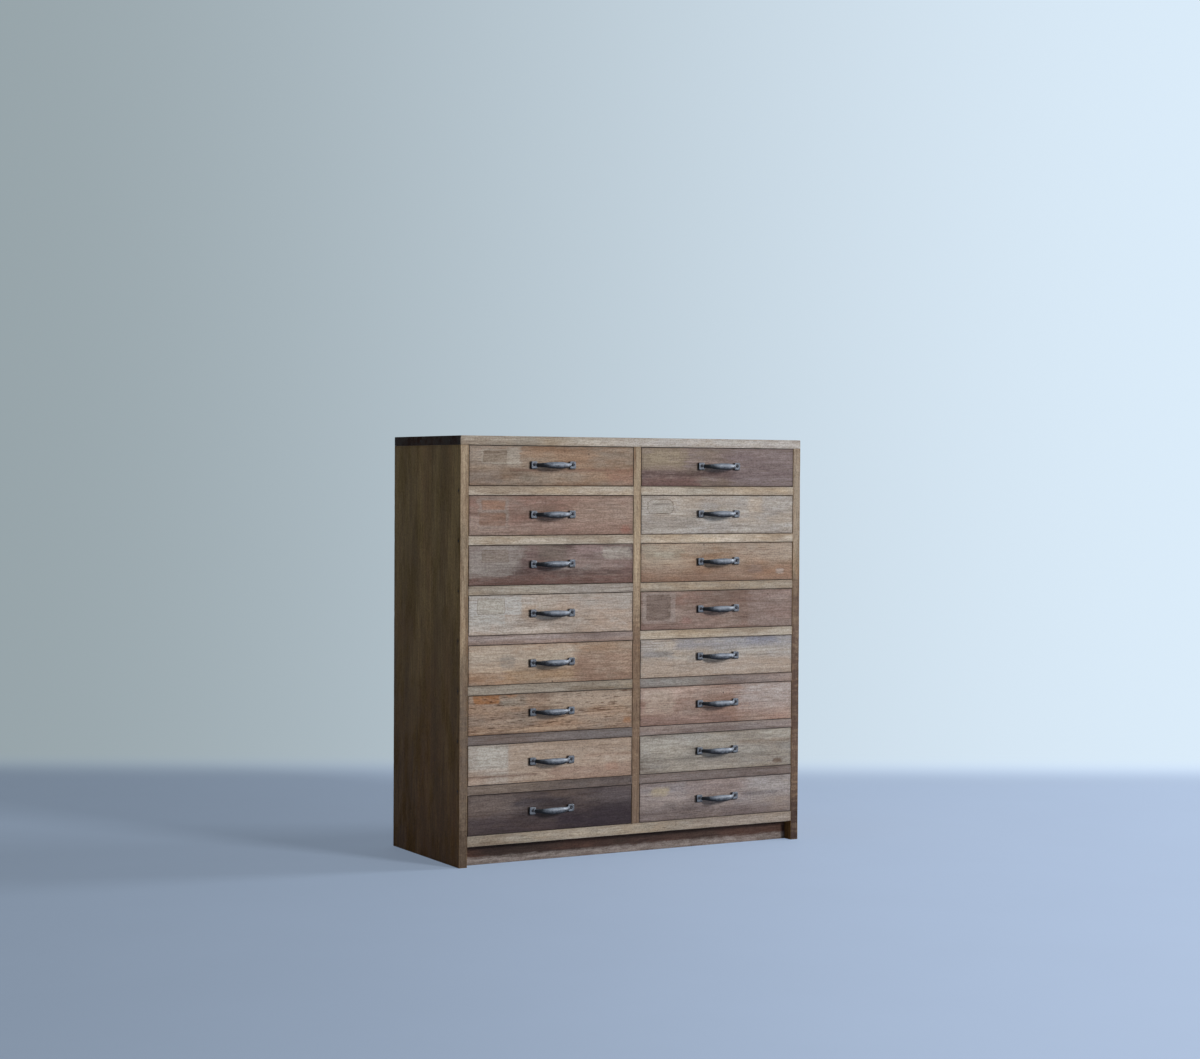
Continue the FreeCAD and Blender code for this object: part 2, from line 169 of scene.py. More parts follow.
def makeWood():
    group, given, out = newGroup("weatheredWood", {
        "Vector": "Vector", "Light": "Color", "Dark": "Color", "Tint": "Color", "Grey": "Color",
        "Tinting": "Float", "Greying": "Float", "Streaks": "Float", "Pores": "Float",
        "Flecks": "Float", "Rings": "Float", "RingGap": "Float",
    }, {"Colour": "Color", "Lines": "Color", "Height": "Float", "Dry": "Float"})
    place = given["Vector"]
    drift = maths(group, "MULTIPLY", maths(
        group, "SUBTRACT", noiseOf(group, place, (2.2, 7, 7), 1), 0.5), 0.016)
    grain = vectorMaths(group, "ADD", place, vectorOf(group, 0.0, drift, drift))
    broad = noiseOf(group, grain, (3.5, 20, 20), 3)
    middle = noiseOf(group, grain, (11, 110, 110), 3, 4.1, 0.6)
    fine = noiseOf(group, grain, (26, 450, 450), 3, 1.7, 0.62)
    speckle = noiseOf(group, grain, (240, 340, 340), 3, 6.1, 0.62)
    fibre = noiseOf(group, grain, (45, 1900, 1900), 2, 2.3)
    figure = maths(group, "MULTIPLY_ADD", middle, 0.33, maths(group, "MULTIPLY", broad, 0.67))
    colour = blended(group, ramp(group, figure, 0.39, 0.60), given["Dark"], given["Light"])

    # growth rings round a heart that lies below the board
    split = addNode(group, "ShaderNodeSeparateXYZ", {"Vector": grain}).outputs
    across = vectorOf(group, y=maths(group, "MULTIPLY_ADD", broad, 0.03, split["Y"]),
                      z=maths(group, "ADD", split["Z"], 0.055))
    turned = maths(group, "DIVIDE", vectorMaths(group, "LENGTH", across), given["RingGap"])
    phase = maths(group, "FRACT", turned)
    late = maths(group, "MULTIPLY", ramp(group, phase, 0.35, 0.9), ramp(group, phase, 0.92, 1.0, 1.0, 0.0))
    ringShare = maths(group, "MULTIPLY", late, given["Rings"])
    colour = blended(group, ringShare, colour, given["Dark"])

    tintShare = maths(group, "MULTIPLY", ramp(
        group, noiseOf(group, grain, (5, 19, 19), 4, 7.3, 0.6), 0.46, 0.66), given["Tinting"])
    colour = blended(group, tintShare, colour, given["Tint"])
    veil = ramp(group, noiseOf(group, grain, (8, 25, 25), 5, 3.9, 0.68), 0.44, 0.68)
    greyShare = maths(group, "MULTIPLY", veil, given["Greying"])
    colour = blended(group, greyShare, colour, given["Grey"])

    feed(group, out["Colour"], colour)

    # lines, flecks and pores, which show through stains too
    lines = blended(group, ramp(group, fine, 0.30, 0.70), (0.83, 0.81, 0.79, 1), (1.15, 1.15, 1.15, 1))
    grit = ramp(group, speckle, 0.34, 0.62, 0.5, 0.0)
    lines = blended(group, grit, lines, (0.46, 0.42, 0.39, 1), "MULTIPLY")
    lines = blended(group, 1.0, lines, (1.25, 1.26, 1.27, 1), "MULTIPLY")
    streak = maths(group, "MULTIPLY", ramp(
        group, noiseOf(group, grain, (5, 230, 230), 3, 11.9), 0.55, 0.72), given["Streaks"])
    lines = blended(group, streak, lines, (0.58, 0.50, 0.45, 1), "MULTIPLY")
    bare = maths(group, "MULTIPLY", ramp(
        group, noiseOf(group, grain, (18, 260, 260), 3, 17.3), 0.56, 0.74), given["Streaks"])
    lines = blended(group, bare, lines, (1.25, 1.25, 1.27, 1), "MULTIPLY")
    fleck = maths(group, "MULTIPLY", ramp(
        group, noiseOf(group, grain, (42, 400, 400), 1, 9.2), 0.58, 0.72), given["Flecks"])
    lines = blended(group, fleck, lines, (0.36, 0.28, 0.24, 1), "MULTIPLY")
    pore = maths(group, "MULTIPLY", ramp(
        group, noiseOf(group, grain, (75, 1500, 1500), 1, 5.6), 0.6, 0.7), given["Pores"])
    lines = blended(group, pore, lines, (0.38, 0.30, 0.26, 1), "MULTIPLY")
    feed(group, out["Lines"], lines)

    relief = maths(group, "ADD", maths(group, "MULTIPLY", fibre, 0.35), maths(group, "MULTIPLY", fine, 0.65))
    sunk = maths(group, "ADD", maths(group, "MULTIPLY", pore, 0.6), maths(group, "MULTIPLY", fleck, 0.5))
    feed(group, out["Height"], maths(group, "SUBTRACT", relief, sunk))
    feed(group, out["Dry"], veil)
    return group


def makeWear():
    # how near a point on a board lies to the board's nearest edge
    group, given, out = newGroup("edgeWear", {
        "Vector": "Vector", "Centre": "Vector", "Half": "Vector", "Width": "Float",
    }, {"Arris": "Float", "Grime": "Float"})
    off = vectorMaths(group, "ABSOLUTE", vectorMaths(group, "SUBTRACT", given["Vector"], given["Centre"]))
    depth = addNode(group, "ShaderNodeSeparateXYZ", {
        "Vector": vectorMaths(group, "SUBTRACT", given["Half"], off)}).outputs
    least = maths(group, "MINIMUM", depth["X"], depth["Y"])
    most = maths(group, "MAXIMUM", depth["X"], depth["Y"])
    gap = maths(group, "MAXIMUM", least, maths(group, "MINIMUM", most, depth["Z"]))
    rough = maths(group, "SUBTRACT", noiseOf(group, given["Vector"], (60, 60, 60), 4, 0.0, 0.7), 0.5)
    ragged = maths(group, "MULTIPLY_ADD", maths(group, "MULTIPLY", rough, given["Width"]), 1.8, gap)
    feed(group, out["Arris"], ramp(group, ragged, 0.0, given["Width"], 1.0, 0.0))
    wide = maths(group, "MULTIPLY", given["Width"], 6.0)
    feed(group, out["Grime"], ramp(group, ragged, 0.0, wide, 1.0, 0.0))
    return group


def makeStain():
    # a soft patch with streaky edges, and its outline as a second mask
    group, given, out = newGroup("surfaceStain", {
        "Vector": "Vector", "Centre": "Vector", "Half": "Vector", "Ragged": "Vector",
        "Corner": "Float", "Softness": "Float", "Line": "Float",
    }, {"Mask": "Float", "Rim": "Float"})
    off = vectorMaths(group, "ABSOLUTE", vectorMaths(group, "SUBTRACT", given["Vector"], given["Centre"]))
    streaky = maths(group, "SUBTRACT", noiseOf(group, given["Vector"], (9, 60, 230), 4, 2.0, 0.65), 0.5)
    cloudy = maths(group, "SUBTRACT", noiseOf(group, given["Vector"], (38, 38, 60), 4, 5.0, 0.6), 0.5)
    rough = maths(group, "ADD", streaky, cloudy)
    torn = vectorMaths(group, "MULTIPLY", vectorOf(group, rough, rough, rough), given["Ragged"])
    inset = maths(group, "ADD", given["Corner"], given["Softness"])
    past = vectorMaths(group, "ADD", vectorMaths(
        group, "SUBTRACT", off, given["Half"]), vectorOf(group, inset, inset, inset))
    outside = vectorMaths(group, "MAXIMUM", vectorMaths(group, "ADD", past, torn), (0, 0, 0))
    gap = maths(group, "SUBTRACT", vectorMaths(group, "LENGTH", outside), inset)
    shape = ramp(group, gap, maths(group, "MULTIPLY", given["Softness"], -1.0), given["Softness"], 1.0, 0.0)
    patchy = ramp(group, noiseOf(group, given["Vector"], (32, 60, 130), 4, 9.0, 0.65), 0.36, 0.56, 0.6, 1.0)
    feed(group, out["Mask"], maths(group, "MULTIPLY", shape, patchy))
    rim = ramp(group, maths(group, "ABSOLUTE", gap), 0.0, given["Line"], 1.0, 0.0)
    feed(group, out["Rim"], maths(group, "MULTIPLY", rim, patchy))
    return group


def makeStaves():
    # boards glued edge to edge: each has its own tone, with a thin line at the joint
    group, given, out = newGroup("gluedStaves", {
        "Across": "Float", "Width": "Float", "Contrast": "Float",
    }, {"Tone": "Color", "Joint": "Float"})
    turned = maths(group, "DIVIDE", given["Across"], given["Width"])
    chance = addNode(group, "ShaderNodeTexWhiteNoise", {
        "W": maths(group, "FLOOR", turned)}, noise_dimensions="1D").outputs["Value"]
    level = maths(group, "MULTIPLY_ADD", maths(group, "SUBTRACT", chance, 0.5), given["Contrast"], 1.0)
    feed(group, out["Tone"], vectorOf(group, level, level, level))
    edge = maths(group, "ABSOLUTE", maths(group, "SUBTRACT", maths(group, "FRACT", turned), 0.5))
    feed(group, out["Joint"], ramp(group, edge, 0.488, 0.5))
    return group


def makeRust():
    # dark rings where a line of evenly spaced nails has stained the wood
    group, given, out = newGroup("nailRust", {
        "Vector": "Vector", "Column": "Float", "Start": "Float", "Pitch": "Float", "Last": "Float",
        "Reach": "Float"}, {"Mask": "Float"})
    split = addNode(group, "ShaderNodeSeparateXYZ", {"Vector": given["Vector"]}).outputs
    height = maths(group, "SUBTRACT", split["Z"], given["Start"])
    step = maths(group, "ROUND", maths(group, "DIVIDE", height, given["Pitch"]))
    step = maths(group, "MINIMUM", maths(group, "MAXIMUM", step, 0.0), given["Last"])
    rise = maths(group, "SUBTRACT", height, maths(group, "MULTIPLY", step, given["Pitch"]))
    across = maths(group, "SUBTRACT", split["Y"], given["Column"])
    away = vectorMaths(group, "LENGTH", vectorOf(group, across, maths(group, "MULTIPLY", rise, 0.6)))
    rough = maths(group, "SUBTRACT", noiseOf(group, given["Vector"], (160, 160, 90), 3), 0.5)
    gap = maths(group, "MULTIPLY_ADD", rough, given["Reach"], away)
    feed(group, out["Mask"], ramp(group, gap, 0.0, given["Reach"], 1.0, 0.0))
    return group


woodGroup = makeWood()
wearGroup = makeWear()
stainGroup = makeStain()
staveGroup = makeStaves()
rustGroup = makeRust()


# Wood finishes. Each family of tones is used by more than one board.

tones = {
    "honey": {"light": tone(172, 152, 132), "dark": tone(134, 110, 90), "tint": tone(160, 120, 88),
              "grey": tone(156, 148, 136)},
    "rose": {"light": tone(160, 140, 128), "dark": tone(122, 98, 86), "tint": tone(150, 112, 98),
             "grey": tone(140, 130, 122)},
    "plum": {"light": tone(146, 128, 120), "dark": tone(92, 72, 68), "tint": tone(120, 90, 84),
             "grey": tone(142, 138, 134)},
    "pale": {"light": tone(182, 170, 158), "dark": tone(148, 132, 118), "tint": tone(176, 150, 130),
             "grey": tone(168, 164, 158)},
    "flecked": {"light": tone(176, 154, 134), "dark": tone(132, 110, 94), "tint": tone(168, 132, 100),
                "grey": tone(146, 138, 128)},
    "dark": {"light": tone(106, 94, 90), "dark": tone(62, 52, 54), "tint": tone(110, 92, 80),
             "grey": tone(98, 92, 94)},
    "russet": {"light": tone(142, 124, 116), "dark": tone(96, 78, 76), "tint": tone(134, 120, 100),
               "grey": tone(134, 124, 124)},
    "grey": {"light": tone(176, 168, 158), "dark": tone(148, 138, 128), "tint": tone(170, 152, 132),
             "grey": tone(160, 158, 158)},
    "olive": {"light": tone(156, 150, 140), "dark": tone(122, 114, 106), "tint": tone(148, 136, 118),
              "grey": tone(142, 140, 136)},
    "dusk": {"light": tone(148, 136, 130), "dark": tone(104, 92, 90), "tint": tone(150, 132, 112),
             "grey": tone(132, 128, 130)},
    "edge": {"light": tone(166, 156, 142), "dark": tone(130, 116, 100), "tint": tone(156, 136, 110),
             "grey": tone(150, 146, 136)},
    "dusky": {"light": tone(150, 137, 131), "dark": tone(110, 96, 90), "tint": tone(138, 116, 102),
              "grey": tone(134, 127, 124)},
    "stile": {"light": tone(164, 145, 120), "dark": tone(122, 101, 80), "tint": tone(158, 120, 84),
              "grey": tone(142, 131, 113)},
    "side": {"light": tone(172, 139, 90), "dark": tone(138, 107, 66), "tint": tone(152, 112, 70),
             "grey": tone(148, 127, 87)},
    # painted shade: the plinth's tones are darkened for the shade under the bottom board
    "plinth": {"light": tone(78, 57, 49), "dark": tone(50, 36, 31), "tint": tone(86, 59, 47),
               "grey": tone(72, 61, 55)},
    "box": {"light": tone(192, 168, 138), "dark": tone(158, 130, 100), "tint": tone(176, 138, 104),
            "grey": tone(168, 156, 138)},
    "inner": {"light": tone(160, 136, 108), "dark": tone(120, 96, 72), "tint": tone(140, 106, 78),
              "grey": tone(138, 126, 108)},
    "back": {"light": tone(168, 142, 112), "dark": tone(132, 104, 78), "tint": tone(150, 112, 82),
             "grey": tone(146, 132, 112)},
}

plainBoard = {"tinting": 0.5, "greying": 0.5, "streaks": 0.5, "pores": 0.6, "flecks": 0.25,
              "rings": 0.25, "ringGap": 0.009, "arris": 0.3, "grime": 0.4, "bump": 0.35,
              "roughness": (0.5, 0.78), "shade": 1.0, "fall": 0.0, "marks": (), "front": None,
              "staves": None, "nails": None, "end": (0.4, 0.34, 0.3, 1), "arrisTone": None}

turns = {"X": (0, 0, 0), "Y": (0, 0, -math.pi / 2), "Z": (0, math.pi / 2, 0)}
axes = {"X": (1, 0, 0), "Y": (0, 1, 0), "Z": (0, 0, 1)}


def woodOn(tree, along, toneSet, look):
    shade = look["shade"]
    colours = {
        name.title(): (*[channel * shade for channel in toneSet[name][:3]], 1.0)
        for name in ("light", "dark", "tint", "grey")}
    return useGroup(tree, woodGroup, Vector=along, Tinting=look["tinting"], Greying=look["greying"],
                    Streaks=look["streaks"], Pores=look["pores"], Flecks=look["flecks"],
                    Rings=look["rings"], RingGap=look["ringGap"], **colours)


def woodMaterial(name, toneSet, low, high, grain="X", shift=0.0, **changes):
    look = {**plainBoard, **changes}
    material = bpy.data.materials.new(name)
    material.use_nodes = True
    tree = material.node_tree
    shader = tree.nodes["Principled BSDF"]
    here = addNode(tree, "ShaderNodeTexCoord").outputs
    spot = addNode(tree, "ShaderNodeSeparateXYZ", {"Vector": here["Object"]}).outputs
    centre, half = (low + high) / 2, (high - low) / 2
    along = addNode(tree, "ShaderNodeMapping", {
        "Vector": here["Object"], "Rotation": turns[grain], "Location": (shift, shift, shift)}).outputs[0]
    wood = woodOn(tree, along, toneSet, look)
    colour = wood["Colour"]
    if look["staves"]:
        axis, width, contrast, joint = look["staves"]
        stave = useGroup(tree, staveGroup, Across=maths(tree, "ADD", spot[axis], shift),
                         Width=width, Contrast=contrast)
        colour = blended(tree, 1.0, colour, stave["Tone"], "MULTIPLY")
        line = maths(tree, "MULTIPLY", stave["Joint"], joint)
        colour = blended(tree, line, colour, (0.4, 0.33, 0.28, 1), "MULTIPLY")
    if look["fall"]:
        share = ramp(tree, spot["Z"], centre.z + half.z * 0.7, centre.z - half.z, 0.0, look["fall"])
        colour = blended(tree, share, colour, (0.58, 0.45, 0.36, 1), "MULTIPLY")
    forward = ramp(tree, vectorMaths(tree, "DOT_PRODUCT", here["Normal"], (0, -1, 0)), 0.55, 0.85)
    if look["front"]:
        # the edge that faces forward is a paler colour than the board's faces
        edge = woodOn(tree, along, look["front"], {**look, "shade": 1.0})
        colour = blended(tree, forward, colour, edge["Colour"])
    for item in look["marks"]:
        patch = useGroup(tree, stainGroup, Vector=here["Object"], Centre=item["centre"],
                         Half=item["half"], Corner=item["corner"], Softness=item["soft"],
                         Ragged=item["ragged"], Line=item["line"])
        if item["strength"]:
            share = maths(tree, "MULTIPLY", patch["Mask"], item["strength"])
            share = maths(tree, "MULTIPLY", share, forward)
            colour = blended(tree, share, colour, item["colour"], item["way"])
        if item["rim"]:
            share = maths(tree, "MULTIPLY", patch["Rim"], item["rim"])
            colour = blended(tree, share, colour, (0.45, 0.38, 0.33, 1), "MULTIPLY")
    if look["nails"]:
        stained = useGroup(tree, rustGroup, Vector=here["Object"], **look["nails"])["Mask"]
        stained = maths(tree, "MULTIPLY", stained, 0.75)
        colour = blended(tree, stained, colour, (0.25, 0.2, 0.18, 1), "MULTIPLY")
    colour = blended(tree, 1.0, colour, wood["Lines"], "MULTIPLY")
    wear = useGroup(tree, wearGroup, Vector=here["Object"], Centre=centre, Half=half, Width=1.5 * mm)
    grime = maths(tree, "MULTIPLY", wear["Grime"], look["grime"])
    colour = blended(tree, grime, colour, (0.62, 0.55, 0.50, 1), "MULTIPLY")
    worn = maths(tree, "MULTIPLY", wear["Arris"], look["arris"])
    colour = blended(tree, worn, colour, look["arrisTone"] or toneSet["light"])
    facing = maths(tree, "ABSOLUTE", vectorMaths(tree, "DOT_PRODUCT", here["Normal"], axes[grain]))
    colour = blended(tree, ramp(tree, facing, 0.6, 0.85), colour, look["end"], "MULTIPLY")
    feed(tree, shader.inputs["Base Color"], colour)
    shader.inputs["Specular IOR Level"].default_value = 0.12
    feed(tree, shader.inputs["Roughness"], ramp(tree, wood["Dry"], 0.0, 1.0, *look["roughness"]))
    bump = addNode(tree, "ShaderNodeBump", {
        "Height": wood["Height"], "Strength": look["bump"], "Distance": 0.6 * mm})
    feed(tree, shader.inputs["Normal"], bump.outputs[0])
    return material


# Boards with worn edges

boardWear = {
    "arris": 0.6 * mm,  # rounding where a board is least worn
    "wander": 0.5 * mm,  # how much more it is rounded in places
    "knock": 1.3 * mm,  # the deepest knocks on an edge
    "knockEvery": 140 * mm,
    "sag": 0.12 * mm,  # hollows left by planing and use
    "pitch": 7 * mm,
    "rim": (0.0, 0.3, 0.6, 1.0, 1.5, 2.2, 3.4),  # millimetres from an edge, where its net is finer
}

hiddenWear = {**boardWear, "pitch": 60 * mm, "knock": 0.5 * mm, "sag": 0.0, "rim": (0.0, 0.5, 1.2, 2.6)}


def stops(length, wear):
    rim = [stop * mm for stop in wear["rim"] if stop * mm < length / 2 - 0.2 * mm]
    inner = length - 2 * rim[-1]
    count = max(1, round(inner / wear["pitch"]))
    middle = [rim[-1] + inner * step / count for step in range(1, count)]
    return rim + middle + [length - stop for stop in reversed(rim)]


def knocks(size, wear, chance):
    found = []
    for along in range(3):
        for _ in range(round(4 * size[along] / wear["knockEvery"])):
            spot = [chance.choice((0, size[axis])) for axis in range(3)]
            spot[along] = chance.uniform(0, size[along])
            found.append((Vector(spot), chance.uniform(2, 7) * mm, chance.uniform(0.2, 1) * wear["knock"]))
    return found


def wornPoint(point, size, wear, dents, seed):
    radius = wear["arris"] + wear["wander"] * max(0.0, noise.noise(point * 28 + seed) + 0.25)
    for spot, reach, depth in dents:
        gap = (point - spot).length
        if gap < 2.2 * reach:
            radius += depth * math.exp(-(gap / reach) ** 2)
    radius = min(radius, min(size) * 0.45)
    inner = Vector([min(max(point[axis], radius), size[axis] - radius) for axis in range(3)])
    out = point - inner
    if out.length < 1e-9:
        return point
    sag = wear["sag"] * (0.5 + 0.5 * noise.noise(point * 9 + seed))
    return inner + out.normalized() * (radius - sag)


def addBoard(net, low, high, wear, seed, index=0):
    # a box's surface as a fine net, each point of which is then worn
    size = high - low
    chance = random.Random(seed)
    dents = knocks(size, wear, chance)
    shift = Vector([chance.uniform(-50, 50) for _ in range(3)])
    lines = [stops(size[axis], wear) for axis in range(3)]
    points = {}

    def pointAt(key):
        if key not in points:
            flat = Vector([lines[axis][key[axis]] for axis in range(3)])
            points[key] = net.verts.new(wornPoint(flat, size, wear, dents, shift) + low)
        return points[key]

    for axis in range(3):
        first, second = (axis + 1) % 3, (axis + 2) % 3
        for end in (0, len(lines[axis]) - 1):
            for i in range(len(lines[first]) - 1):
                for j in range(len(lines[second]) - 1):
                    corners = []
                    for di, dj in ((0, 0), (1, 0), (1, 1), (0, 1)):
                        key = [0, 0, 0]
                        key[axis] = end
                        key[first] = i + di
                        key[second] = j + dj
                        corners.append(pointAt(tuple(key)))
                    net.faces.new(corners if end else corners[::-1]).material_index = index
    return net


def boardMesh(low, high, wear, seed):
    return addBoard(bmesh.new(), low, high, wear, seed)


def pieceFrom(net, name, *materials):
    for face in net.faces:
        face.smooth = True
    mesh = bpy.data.meshes.new(name)
    net.to_mesh(mesh)
    net.free()
    piece = bpy.data.objects.new(name, mesh)
    bpy.context.scene.collection.objects.link(piece)
    for material in materials:
        mesh.materials.append(material)
    return piece


def settle(piece):
    # the mesh that a piece's modifiers make becomes its own
    shaped = bpy.data.meshes.new_from_object(
        piece.evaluated_get(bpy.context.evaluated_depsgraph_get()))
    piece.modifiers.clear()
    piece.data = shaped
    return piece


def combine(piece, other, operation):
    # joins another solid to a piece, or cuts it away
    tool = piece.modifiers.new("combine", "BOOLEAN")
    tool.operation = operation
    tool.object = other
    tool.solver = "EXACT"
    settle(piece)
    bpy.data.objects.remove(other)
    piece.data.set_sharp_from_angle(angle=math.radians(40))
    return piece


def dress(piece, body, slot, *nodes):
    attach(piece, body)
    if nodes:
        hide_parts(*nodes)
    return piece


# Drawer fronts. A mark's place and size are millimetres on the board, from its lower left corner.

def mark(left, right, bottom, top, colour=None, strength=0.0, way="MIX", soft=3.0, ragged=(30, 5),
         corner=2.0, rim=0.0, line=0.8):
    return {"span": (left, right, bottom, top), "colour": colour, "strength": strength, "way": way,
            "soft": soft * mm, "ragged": (ragged[0] * mm, 0.0, ragged[1] * mm), "corner": corner * mm,
            "rim": rim, "line": line * mm}


def speck(across, up, size=1.6, strength=0.8):
    # an old nail hole or a small knock
    return mark(across - size, across + size, up - size, up + size, tone(64, 50, 44), strength,
                soft=0.7, ragged=(2, 2), corner=size)


def placed(marks, low):
    # marks in the cabinet's own frame, on the front face of one board
    done = []
    for item in marks:
        left, right, bottom, top = [edge * mm for edge in item["span"]]
        centre = (low.x + (left + right) / 2, low.y, low.z + (bottom + top) / 2)
        half = ((right - left) / 2, 9.0, (top - bottom) / 2)
        done.append({**item, "centre": centre, "half": half})
    return done


